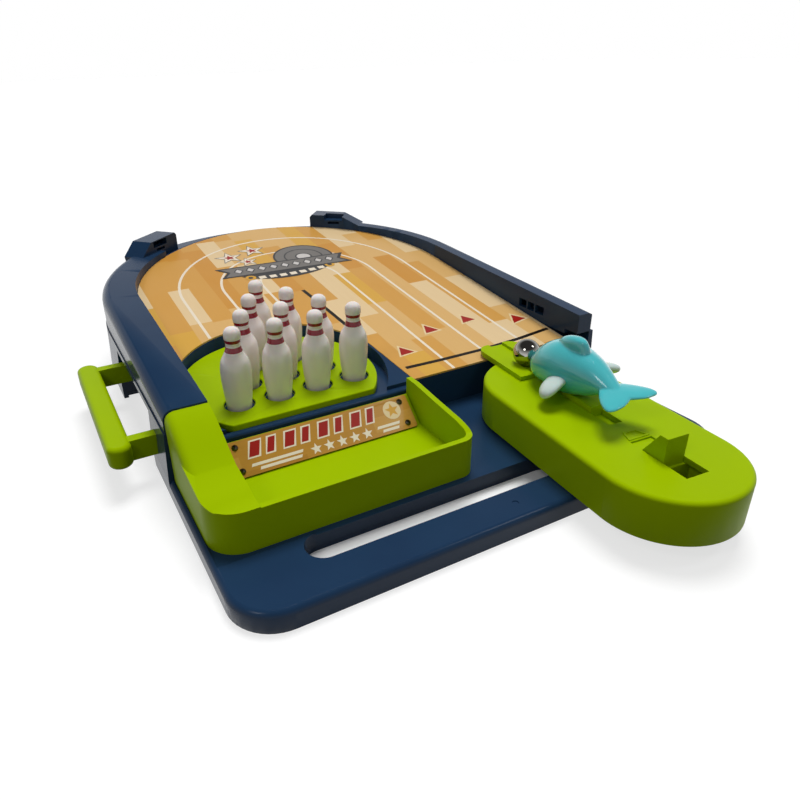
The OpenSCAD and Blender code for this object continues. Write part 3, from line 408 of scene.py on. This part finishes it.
# Finish of each CAD node
nodeFinishes = {
    "base_shell": navyPlastic, "bottom_plate": navyPlastic, "upper_deck": navyPlastic, "lane_sheet": laneBoard,
    "tray": limePlastic, "pin_plate": limePlastic, "launcher_cover": limePlastic, "launcher_top": limePlastic,
    "carriage": limePlastic, "handle": limePlastic, "reset_bar": blackPlastic, "ramp_plate": platePrint,
    "ramp_rivets": brownSteel, "bottom_screws": zincSteel, "tray_screws": zincSteel, "launcher_screws": zincSteel,
    "slider_screws": zincSteel, "pivot_washer": zincSteel, "pivot_screw": zincSteel, "ball": ballSteel,
    "striker_spring": springSteel, "return_spring_front": springSteel, "return_spring_rear": springSteel,
    "dolphin_body": turquoisePlastic, "flippers": palePlastic,
}
for i in range(10):
    nodeFinishes["pin_%d" % (i + 1)] = whitePlastic
for name, material in nodeFinishes.items():
    nodes[name].data.materials.clear()
    nodes[name].data.materials.append(material)
for name in edgeLook["widths"]:
    softEdges(name, edgeLook)
print("frame painted")

# Pins: turned bodies with a round head and two painted bands at the neck, four rows on the tilted plate
pinLook = {
    "wide": 13.1, "high": 37.7, "sides": 48, "steps": 5,
    "firstX": -72.7, "firstY": 104.9, "pitch": 18.5, "plateZ": 25.6, "plateY": 92.4, "plateTilt": 2.06, "seat": 2.0,
    "rows": [4, 3, 2, 1],
    # radius and height, as shares of the half width and of the whole height
    "profile": [
        (0.72, 0.0), (0.79, 0.004), (0.81, 0.014), (0.86, 0.1), (0.93, 0.22), (0.98, 0.33), (1.0, 0.43), (0.99, 0.5),
        (0.95, 0.56), (0.87, 0.615), (0.72, 0.665), (0.59, 0.71), (0.52, 0.75), (0.48, 0.785), (0.475, 0.81),
        (0.495, 0.84), (0.53, 0.87), (0.545, 0.905), (0.52, 0.943), (0.43, 0.973), (0.26, 0.993), (0.0, 1.0),
    ],
    "bands": [(0.722, 0.782), (0.828, 0.868)],
    # radius and height of the navy liner on the wall and floor of the seat that a pin stands in: painted shade in the
    # gap round the pin's foot, partly the navy beneath the plate
    "seatWall": [(6.62, -0.5), (6.62, -1.94), (4.9, -1.94)],
}


# A place over the pin plate: across, up the plate and off it
def onPlate(x, v, lift):
    tilt = math.radians(pinLook["plateTilt"])
    return atFront(
        x, pinLook["plateY"] + v * math.cos(tilt) - lift * math.sin(tilt),
        pinLook["plateZ"] + v * math.sin(tilt) + lift * math.cos(tilt)
    )


# Rings of points round a pin's axis, from their radius and height
def plateRings(x, v, rings, sides):
    turns = [2 * math.pi * j / sides for j in range(sides)]
    return [
        onPlate(x + radius * math.cos(turn), v + radius * math.sin(turn), lift)
        for radius, lift in rings for turn in turns
    ]


def makePin(number, row, column, look):
    rings = []
    for i in range(len(look["profile"]) - 1):
        span = spanAt(look["profile"], i)
        for k in range(look["steps"]):
            rings.append([between(*[s[m] for s in span], k / look["steps"]) for m in (0, 1)])
    for edge in sorted(height for band in look["bands"] for height in band):
        # the nearest ring moves onto each edge of a band, so that the paint ends cleanly
        nearest = min(rings, key=lambda ring: abs(ring[1] - edge))
        nearest[1] = edge
    x = look["firstX"] + (column + row / 2) * look["pitch"]
    v = look["firstY"] - look["plateY"] + row * look["pitch"] * math.sin(math.radians(60))
    sides = look["sides"]
    outline = [(max(share, 0.0) * look["wide"] / 2, height * look["high"] - look["seat"]) for share, height in rings]
    points = plateRings(x, v, outline, sides) + [onPlate(x, v, look["high"] - look["seat"])]
    faces = ringFaces(len(rings), sides)
    picks = []
    for lower, upper in zip(rings, rings[1:]):
        middle = (lower[1] + upper[1]) / 2
        painted = any(low < middle < high for low, high in look["bands"])
        picks += [1 if painted else 0] * sides
    last, top = (len(rings) - 1) * sides, len(points) - 1
    faces += [(last + j, last + (j + 1) % sides, top) for j in range(sides)]
    faces.append(tuple(reversed(range(sides))))
    picks += [0] * (sides + 1)
    name = "pin_%d" % number
    pin = meshObject("turned_" + name, points, faces, [whitePlastic, bandPaint], True, picks)
    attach(pin, "pin_body_%d" % number)
    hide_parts(name)

    # navy liner over the lower seat wall and floor: painted shade round the pin's foot, partly the navy beneath the
    # plate showing through
    wall = look["seatWall"]
    inward = [(a, d, c, b) for a, b, c, d in ringFaces(len(wall), sides)]
    seat = meshObject("seat_shade_liner_%d" % number, plateRings(x, v, wall, sides), inward, [navyPlastic], True)
    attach(seat, "base")


number = 0
for row, count in enumerate(pinLook["rows"]):
    for column in range(count):
        number += 1
        makePin(number, row, column, pinLook)
print("pins turned")

# Dolphin: lofted body, back fin and flukes melted into one skin, and a pair of flippers
dolphinLook = {
    "pivot": (54.0, 53.0), "turn": 4.3, "top": 26.3, "leanHeight": 11.0, "lean": -6.4,
    "bodySides": 48, "finSides": 32, "voxel": 0.0004, "smooth": 0.6, "rounds": 5, "flipperDroop": 0.25,
    # place along Y, height, half width, half height
    "body": [
        (9.4, 6.4, 0.6, 0.6), (9.1, 6.5, 2.6, 2.4), (8, 7.2, 4.6, 4.2), (5.6, 8.4, 7.2, 6.0), (2, 9.6, 9.2, 8.8),
        (-3, 11.2, 10.4, 10.4), (-9, 12.2, 10.8, 11.4), (-15, 12.5, 10.4, 11.3), (-21, 13.1, 9.2, 10.1),
        (-27, 13.6, 7.6, 8.2), (-32, 13.8, 5.8, 5.8), (-36, 13.5, 4.4, 3.7), (-39, 13.2, 3.4, 2.3),
        (-42, 13.0, 2.4, 1.3),
    ],
    # height, place along Y, half length, half thickness
    "fin": [
        (18.5, -14.6, 9.6, 3.9), (21.5, -14.8, 9.2, 3.8), (24.2, -15.4, 8.2, 3.4), (26.2, -16.4, 6.2, 2.8),
        (27.4, -17.6, 4.0, 2.0), (27.9, -18.4, 1.8, 1.0),
    ],
    # sideways place, place along Y, height, half length, half thickness
    "fluke": [
        (0.0, -41.0, 13.2, 6.6, 1.5), (3.0, -41.8, 13.2, 7.4, 1.4), (5.5, -43.2, 13.1, 6.9, 1.3),
        (8.0, -44.8, 13.0, 5.5, 1.2), (10.0, -46.2, 12.9, 3.9, 1.05), (11.3, -47.3, 12.85, 2.3, 0.8),
        (12.0, -47.8, 12.8, 0.9, 0.4),
    ],
    # sideways place, place along Y, height, half length, half thickness
    "flipper": [
        (7.0, -15.6, 10.8, 4.8, 2.5), (10.0, -16.0, 10.2, 5.4, 2.8), (13.4, -17.0, 9.5, 5.4, 2.8),
        (16.4, -18.2, 8.8, 4.6, 2.6), (18.6, -19.2, 8.4, 2.9, 1.9), (19.6, -19.7, 8.2, 1.0, 0.8),
    ],
}


# The launcher's frame, with Y along the shot and heights from its top face
def atLauncher(v):
    look = dolphinLook
    turn = math.radians(look["turn"])
    x, y, z = v
    return atFront(
        look["pivot"][0] + x * math.cos(turn) + y * math.sin(turn),
        look["pivot"][1] - x * math.sin(turn) + y * math.cos(turn), look["top"] + z
    )


# Lofted parts joined into one mesh, leaned as one and set on the launcher
def joinParts(parts, look):
    middle = Matrix.Translation((0, 0, look["leanHeight"]))
    leaning = middle @ Matrix.Rotation(math.radians(look["lean"]), 4, "Y") @ middle.inverted()
    points, faces = [], []
    for partPoints, partFaces in parts:
        first = len(points)
        points += [atLauncher(leaning @ p) for p in partPoints]
        faces += [tuple(first + i for i in face) for face in partFaces]
    return points, faces


def makeDolphin(look):
    sides = look["finSides"]
    parts = [
        ovalLoft([((0, y, z), (w, 0, 0), (0, 0, h)) for y, z, w, h in look["body"]], look["bodySides"]),
        ovalLoft([((0, y, z), (t, 0, 0), (0, a, 0)) for z, y, a, t in look["fin"]], sides),
    ]
    for side in (-1, 1):
        parts.append(ovalLoft([
            ((side * x, y, z), (0, a, 0), (0, 0, t * side)) for x, y, z, a, t in look["fluke"]
        ], sides))
    body = meshObject("dolphin_skin", *joinParts(parts, look), [turquoisePlastic], True)
    melt = body.modifiers.new("melt", "REMESH")
    melt.mode = "VOXEL"
    melt.voxel_size = look["voxel"]
    melt.use_smooth_shade = True
    blend = body.modifiers.new("blend", "SMOOTH")
    blend.factor = look["smooth"]
    blend.iterations = look["rounds"]
    applyModifiers(body)
    body.data.materials.clear()
    body.data.materials.append(turquoisePlastic)
    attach(body, "striker")
    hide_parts("dolphin_body")

    droop = look["flipperDroop"]
    parts = [
        ovalLoft([
            ((side * x, y, z), (0, a, -droop * a), (0, 0, t * side)) for x, y, z, a, t in look["flipper"]
        ], sides) for side in (-1, 1)
    ]
    fins = meshObject("flipper_pair", *joinParts(parts, look), [palePlastic], True)
    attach(fins, "striker")
    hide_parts("flippers")


makeDolphin(dolphinLook)
print("dolphin made")


# Springs as unchanged copies of the CAD coils: the striker's, which the carriage presses, rides with the launcher; the
# handle's two, which are drawn out, stay where they are
springLook = {
    "pressed": "striker_spring", "drawn": ["return_spring_front", "return_spring_rear"],
    "along": (-0.07498, -0.99719, 0.0), "travel": 10.5,
}


# Copy of a CAD coil, with its lowest, highest and middle point
def makeCoil(name):
    coil = bpy.data.objects.new(name + "_coil", nodes[name].data.copy())
    scene.collection.objects.link(coil)
    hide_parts(name)
    low, high = (Vector(corner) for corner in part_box(name))
    return coil, low, high, (low + high) / 2


def makeSprings(look):
    coil, low, high, middle = makeCoil(look["pressed"])
    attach(coil, "launcher")
    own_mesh(coil)
    for name in look["drawn"]:
        coil, low, high, middle = makeCoil(name)
        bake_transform(coil)


makeSprings(springLook)
print("springs made")

# Printed marks lie a few hundredths of a millimetre above the board they are printed on, later ones higher
printLift = {"first": 0.02, "perLevel": 0.012}


# The marks of one print: polygons ("patch") and lines of even width ("line")
def printMarks(name, place, marks):
    points, faces, picks = [], [], []
    materials = []
    for mark in marks:
        ink = inks[mark["ink"]]
        if ink not in materials:
            materials.append(ink)
        lift = printLift["first"] + printLift["perLevel"] * mark["level"]
        first = len(points)
        if "patch" in mark:
            points += [place(x, y, lift) for x, y in mark["patch"]]
            faces.append(tuple(range(first, len(points))))
            picks.append(materials.index(ink))
            continue
        line, half = mark["line"], mark["wide"] / 2
        for i, (x, y) in enumerate(line):
            before, after = line[max(i - 1, 0)], line[min(i + 1, len(line) - 1)]
            ax, ay = after[0] - before[0], after[1] - before[1]
            size = math.hypot(ax, ay)
            sideX, sideY = -ay / size * half, ax / size * half
            points += [place(x + sideX, y + sideY, lift), place(x - sideX, y - sideY, lift)]
        for a in range(first, len(points) - 2, 2):
            faces.append((a, a + 1, a + 3, a + 2))
            picks.append(materials.index(ink))
    made = meshObject(name, points, faces, materials, False, picks)
    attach(made, "base")


def patchMark(ink, level, patch):
    return {"patch": patch, "ink": ink, "level": level}


def circlePoints(x, y, radius, count, start=0.0, end=360.0, tall=None):
    turns = [math.radians(start + (end - start) * i / count) for i in range(count + (end - start != 360))]
    return [(x + radius * math.cos(t), y + (tall or radius) * math.sin(t)) for t in turns]


# Five-pointed star, its inner corners at a share of the radius
def starPoints(x, y, radius, spikes=5, inner=0.42):
    points = []
    for i in range(2 * spikes):
        turn, reach = math.radians(90 + 180 * i / spikes), 1 if i % 2 == 0 else inner
        points.append((x + radius * reach * math.cos(turn), y + radius * reach * math.sin(turn)))
    return points


# Lane: the board's plane, with Y measured level from the player's edge
laneLook = {
    "frontY": 88.4, "frontZ": 24.7, "tilt": 6.53,
    # U-shaped lines: radii, and where their right legs start to bend
    "middle": (4.0, 212.7), "radii": [70.8, 46.9, 24.0], "bendY": 150, "bendSteps": 60,
    "lineWide": 1.5, "startGap": 0.4, "endGap": 0.2,
    "wellMiddle": (-46.6, 119.6), "wellRadius": 49.6,
    "foulLines": [
        [(7.2, 98.6), (28, 97.8), (50, 97.6), (75, 98.8), (96.6, 101.2)], [(-1.3, 198.7), (0.4, 172), (1.7, 145.6)],
    ],
    "foulWide": 2.2,
    "arrows": [
        [(14.4, 117.0), (11.3, 109.5), (19.2, 110.2)], [(38.4, 131.8), (35.0, 123.8), (42.9, 124.3)],
        [(63.1, 133.0), (59.3, 125.3), (67.7, 126.2)], [(89.0, 122.2), (84.3, 113.7), (93.8, 115.7)],
    ],
    "arrowRim": 1.42,
}


def onLane(x, y, lift):
    slope = math.tan(math.radians(laneLook["tilt"]))
    return atFront(x, y, laneLook["frontZ"] + (y - laneLook["frontY"]) * slope + lift)


def laneMarks(look):
    marks = []
    middleX, middleY = look["middle"]
    wellX, wellY = look["wellMiddle"]
    for radius in look["radii"]:
        # each line runs up the right, round the end and down the left to the edge of the pin well
        left, right = middleX - radius, middleX + radius
        leftEnd = wellY + math.sqrt(look["wellRadius"] ** 2 - (left - wellX) ** 2)
        line = [(right, look["frontY"] + look["startGap"]), (right, look["bendY"])]
        line += circlePoints(middleX, middleY, radius, look["bendSteps"], 0, 180)
        line += [(left, leftEnd + look["endGap"])]
        marks.append({"line": line, "wide": look["lineWide"], "ink": "white", "level": 0})
    for line in look["foulLines"]:
        marks.append({"line": line, "wide": look["foulWide"], "ink": "black", "level": 1})
    for corners in look["arrows"]:
        midX = sum(x for x, y in corners) / 3
        midY = sum(y for x, y in corners) / 3
        rim = look["arrowRim"]
        marks.append(patchMark("cream", 1, [(midX + (x - midX) * rim, midY + (y - midY) * rim) for x, y in corners]))
        marks.append(patchMark("red", 2, corners))
    return marks


# Crest printed at the lane's round end: a grey ribbon with lozenges, a target disc and three stars
crestLook = {
    "discMiddle": (20, 246), "discSteps": 48,
    "discRings": [(19.5, "dark"), (18.2, "grey"), (12.6, "dark"), (11.6, "grey"), (5.4, "dark"), (4.4, "pale")],
    "stars": [(-24, 262, 9.5), (-7, 268, 9.5), (-15.5, 251.5, 7)],
    "starRings": [(1, "grey"), (0.86, "white"), (0.42, "red")],
    "arc": {"x": 3.5, "y": 240, "radius": 34, "count": 40, "start": 206, "end": 334, "tall": 21},
    "squares": {"count": 7, "x": 3.5, "y": 223.6, "pitch": 6.4, "bow": 0.168, "half": (2.1, 1.9)},
    "knobs": {"places": [-22.5, 29.5], "y": 227, "rings": [(3.2, "gold"), (1.5, "dark")], "steps": 24},
    "ribbon": [(-38.5, 232), (-33, 239), (-38.5, 246.5), (45.5, 242), (40.5, 234.5), (45.5, 227)],
    "ribbonInside": [(-35.5, 233), (-31, 239), (-35.5, 245), (42.5, 240.8), (38.2, 234.6), (42.5, 228.4)],
    "lozenges": {"count": 9, "x": -26, "y": 238.8, "pitch": 7.4, "fall": 0.052, "outer": (3.1, 4.2), "inner": (2.2, 3)},
}


def crestMarks(look):
    marks = []
    # the disc lies behind the ribbon
    for level, (radius, ink) in enumerate(look["discRings"], 1):
        marks.append(patchMark(ink, level, circlePoints(*look["discMiddle"], radius, look["discSteps"])))
    for x, y, radius in look["stars"]:
        for level, (share, ink) in enumerate(look["starRings"], 7):
            marks.append(patchMark(ink, level, starPoints(x, y, radius * share)))
    # lower arc with small squares and two gold knobs
    marks.append(patchMark("dark", 10, circlePoints(**look["arc"])))
    squares = look["squares"]
    wide, tall = squares["half"]
    for i in range(squares["count"]):
        step = i - squares["count"] // 2
        x = squares["x"] + step * squares["pitch"]
        y = squares["y"] + squares["bow"] * step ** 2
        corners = [(x - wide, y - tall), (x + wide, y - tall), (x + wide, y + tall), (x - wide, y + tall)]
        marks.append(patchMark("white", 11, corners))
    knobs = look["knobs"]
    for x in knobs["places"]:
        for level, (radius, ink) in enumerate(knobs["rings"], 11):
            marks.append(patchMark(ink, level, circlePoints(x, knobs["y"], radius, knobs["steps"])))
    # ribbon with its lozenges, over all the rest
    marks.append(patchMark("dark", 13, look["ribbon"]))
    marks.append(patchMark("grey", 14, look["ribbonInside"]))
    lozenges = look["lozenges"]
    for i in range(lozenges["count"]):
        x = lozenges["x"] + i * lozenges["pitch"]
        y = lozenges["y"] - lozenges["fall"] * (x - lozenges["x"])
        for level, ink, (wide, tall) in ((15, "dark", lozenges["outer"]), (16, "pale", lozenges["inner"])):
            marks.append(patchMark(ink, level, [(x - wide, y), (x, y - tall), (x + wide, y), (x, y + tall)]))
    return marks


printMarks("lane_print", onLane, laneMarks(laneLook))
printMarks("lane_crest", onLane, crestMarks(crestLook))
print("lane printed")

# Ramp plate: a row of leaning red bars with white edges, white stripes and stars; X and distance up the ramp
rampLook = {
    "frontY": 70.0, "frontZ": 11.2, "tilt": 42.0, "thick": 0.8,
    "bars": {"count": 8, "x": -80.5, "pitch": 7.6, "wides": (5.6, 4.4), "low": 7.3, "high": 14.7, "lean": 2.4,
             "rim": 0.65, "rimCorner": 1.1},
    # left end, right end and lower edge of each stripe
    "stripes": [(-80, -58, 3.9), (-77, -59, 1.9)], "stripeTall": 1.2, "stripeLean": 0.6,
    "starPlaces": [-52, -46, -40, -34, -28], "starY": 3.6, "starRadius": 2.6,
    "rightStripes": [(-23, -12, 3.9), (-21, -13, 1.9)],
    "medal": {"middle": (-13, 10.6), "radius": 4.2, "star": 3.4, "steps": 32},
}


def onRamp(x, v, lift):
    tilt = math.radians(rampLook["tilt"])
    up = rampLook["thick"] + lift
    return atFront(
        x, rampLook["frontY"] + v * math.cos(tilt) - up * math.sin(tilt),
        rampLook["frontZ"] + v * math.sin(tilt) + up * math.cos(tilt)
    )


def stripeMark(left, right, low, look):
    high, lean = low + look["stripeTall"], look["stripeLean"]
    return patchMark("white", 1, [(left, low), (right, low), (right + lean, high), (left + lean, high)])


def rampMarks(look):
    marks = []
    bars = look["bars"]
    for i in range(bars["count"]):
        left = bars["x"] + i * bars["pitch"]
        right = left + bars["wides"][i % 2]
        for grow, ink, level in ((0.0, "white", 1), (bars["rim"], "red", 2)):
            low, high, corner = bars["low"] + grow, bars["high"] - grow, grow * bars["rimCorner"]
            marks.append(patchMark(ink, level, [
                (left + corner, low), (right - grow, low),
                (right + bars["lean"] - corner, high), (left + bars["lean"] + grow, high),
            ]))
    marks += [stripeMark(*stripe, look) for stripe in look["stripes"]]
    for x in look["starPlaces"]:
        marks.append(patchMark("white", 1, starPoints(x, look["starY"], look["starRadius"])))
    marks += [stripeMark(*stripe, look) for stripe in look["rightStripes"]]
    medal = look["medal"]
    marks.append(patchMark("cream", 1, circlePoints(*medal["middle"], medal["radius"], medal["steps"])))
    marks.append(patchMark("gold", 2, starPoints(*medal["middle"], medal["star"])))
    return marks


printMarks("ramp_print", onRamp, rampMarks(rampLook))
print("ramp plate printed")

# Camera as solved from the photograph: place in millimetres, angles in radians
cameraSettings = {
    "place": (-142.0, -145.1, 160.6), "turn": 0.4798, "down": 0.4762, "roll": -0.02816,
    "sensor": 36, "lens": 30.0, "shiftX": 0.04435, "shiftY": -0.00966, "nearest": 0.01,
}


def placeCamera(look):
    turn, down, roll = look["turn"], look["down"], look["roll"]
    forward = Vector((math.sin(turn) * math.cos(down), math.cos(turn) * math.cos(down), -math.sin(down)))
    level = Vector((math.cos(turn), -math.sin(turn), 0))
    upright = level.cross(forward)
    right = math.cos(roll) * level + math.sin(roll) * upright
    up = -math.sin(roll) * level + math.cos(roll) * upright
    camera = bpy.data.objects.new("camera", bpy.data.cameras.new("camera"))
    facing = Matrix((right, up, -forward)).transposed().to_4x4()
    camera.matrix_world = Matrix.Translation(atFront(*look["place"])) @ facing
    camera.data.sensor_width = look["sensor"]
    camera.data.lens = look["lens"]
    camera.data.shift_x = look["shiftX"]
    camera.data.shift_y = look["shiftY"]
    camera.data.clip_start = look["nearest"]
    scene.collection.objects.link(camera)
    scene.camera = camera


placeCamera(cameraSettings)
print("camera placed")

# Soft studio: one broad light overhead, two small boxes for the highlights, white paper underneath
studio = {
    "paper": {"dark": "#fafafa", "light": "#fdfdfd", "bounce": "#505050", "mottleSize": 0.025, "mottleDetail": 4.0},
    "floor": {"half": 6.0, "drop": 0.0002, "shadowShare": 0.37, "glow": 0.69},
    # the paper seen through the carry slot, in deeper shadow
    "slot": {"left": -88.0, "right": 54.0, "front": 12.0, "back": 34.0, "drop": 0.1, "shadowShare": 0.97, "glow": 0.02},
    "sky": {"fill": 0.2, "horizon": 1.0, "zenith": 0.05, "horizonEnds": 0.05, "zenithStarts": 0.7},
    "sun": {"toward": (0.22, 0.30, 1.0), "strength": 2.3, "spread": 26.0},
    "boxes": [
        {"name": "left box", "place": (-0.635, -0.336, 0.727), "side": 0.22, "power": 1.0},
        {"name": "right box", "place": (0.539, -0.464, 0.829), "side": 0.18, "power": 0.7},
    ],
}


# Paper that keeps its white and its shadows for the eye, and throws little light back up at the sides
def paperMaterial(name, look, area):
    material, tree = newMaterial(name)
    point = addNode(tree, "ShaderNodeTexCoord").outputs["Object"]
    mottle = addNode(
        tree, "ShaderNodeTexNoise", {"Scale": 1 / look["mottleSize"], "Detail": look["mottleDetail"]},
        {"Vector": point}
    )
    tone = addNode(
        tree, "ShaderNodeMix", {"data_type": "RGBA", 6: linearColor(look["dark"]), 7: linearColor(look["light"])},
        {0: mottle.outputs["Fac"]}
    )
    ray = addNode(tree, "ShaderNodeLightPath")
    seen = addNode(
        tree, "ShaderNodeMath", {"operation": "MAXIMUM"},
        {0: ray.outputs["Is Camera Ray"], 1: ray.outputs["Is Glossy Ray"]}
    )
    clear = addNode(
        tree, "ShaderNodeMath", {"operation": "MAXIMUM"},
        {0: seen.outputs[0], 1: ray.outputs["Is Transmission Ray"]}
    )
    glowShare = 1 - area["shadowShare"]
    lit = addNode(tree, "ShaderNodeBsdfDiffuse", {}, {"Color": tone.outputs[2]})
    light = addNode(tree, "ShaderNodeEmission", {"Color": (1, 1, 1, 1), "Strength": area["glow"] / glowShare})
    white = addNode(tree, "ShaderNodeMixShader", {0: glowShare}, {1: lit.outputs[0], 2: light.outputs[0]})
    grey = addNode(tree, "ShaderNodeBsdfDiffuse", {"Color": linearColor(look["bounce"])})
    both = addNode(tree, "ShaderNodeMixShader", {}, {0: clear.outputs[0], 1: grey.outputs[0], 2: white.outputs[0]})
    addNode(tree, "ShaderNodeOutputMaterial", {}, {"Surface": both.outputs[0]})
    return material


def buildStudio(look):
    area = look["floor"]
    half = area["half"]
    floor = meshObject(
        "floor", [(-half, -half, 0), (half, -half, 0), (half, half, 0), (-half, half, 0)], [(0, 1, 2, 3)],
        [paperMaterial("paper matt white", look["paper"], area)]
    )
    floor.location.z = -area["drop"]
    area = look["slot"]
    left, right, front, back = (area[side] for side in ("left", "right", "front", "back"))
    corners = [(left, front), (right, front), (right, back), (left, back)]
    under = meshObject(
        "slot floor", [atFront(x, y, -area["drop"]) for x, y in corners], [(0, 1, 2, 3)],
        [paperMaterial("paper matt white shaded", look["paper"], area)]
    )

    sunData = bpy.data.lights.new("overhead light", "SUN")
    sunData.energy = look["sun"]["strength"]
    sunData.angle = math.radians(look["sun"]["spread"])
    sun = bpy.data.objects.new("overhead light", sunData)
    sun.rotation_euler = Vector(look["sun"]["toward"]).to_track_quat("Z", "Y").to_euler()
    sun.visible_glossy = False  # only the two boxes show in the gloss
    scene.collection.objects.link(sun)
    for box in look["boxes"]:
        data = bpy.data.lights.new(box["name"], "AREA")
        data.size = box["side"]
        data.energy = box["power"]
        lamp = bpy.data.objects.new(box["name"], data)
        lamp.location = box["place"]
        lamp.rotation_euler = Vector(box["place"]).to_track_quat("Z", "Y").to_euler()
        scene.collection.objects.link(lamp)

    # white to the eye; for gloss, white at the horizon and darker overhead, so that it keeps its contrast
    sky = look["sky"]
    world = bpy.data.worlds.new("studio")
    world.use_nodes = True
    tree = world.node_tree
    tree.nodes.clear()
    ray = addNode(tree, "ShaderNodeLightPath")
    direction = addNode(tree, "ShaderNodeTexCoord").outputs["Generated"]
    axes = addNode(tree, "ShaderNodeSeparateXYZ", {}, {0: direction})
    height = addNode(
        tree, "ShaderNodeMapRange",
        {"From Min": sky["horizonEnds"], "From Max": sky["zenithStarts"],
         "To Min": sky["horizon"], "To Max": sky["zenith"]},
        {"Value": axes.outputs["Z"]}
    )
    inGloss = addNode(
        tree, "ShaderNodeMath", {"operation": "MAXIMUM"},
        {0: ray.outputs["Is Glossy Ray"], 1: ray.outputs["Is Transmission Ray"]}
    )
    fill = addNode(
        tree, "ShaderNodeMix", {"data_type": "FLOAT", 2: sky["fill"]}, {0: inGloss.outputs[0], 3: height.outputs[0]}
    )
    level = addNode(
        tree, "ShaderNodeMix", {"data_type": "FLOAT", 3: 1.0},
        {0: ray.outputs["Is Camera Ray"], 2: fill.outputs[0]}
    )
    backdrop = addNode(tree, "ShaderNodeBackground", {"Color": (1, 1, 1, 1)}, {"Strength": level.outputs[0]})
    addNode(tree, "ShaderNodeOutputWorld", {}, {"Surface": backdrop.outputs[0]})
    scene.world = world
    scene.view_settings.view_transform = "Standard"


buildStudio(studio)
print("studio lit")
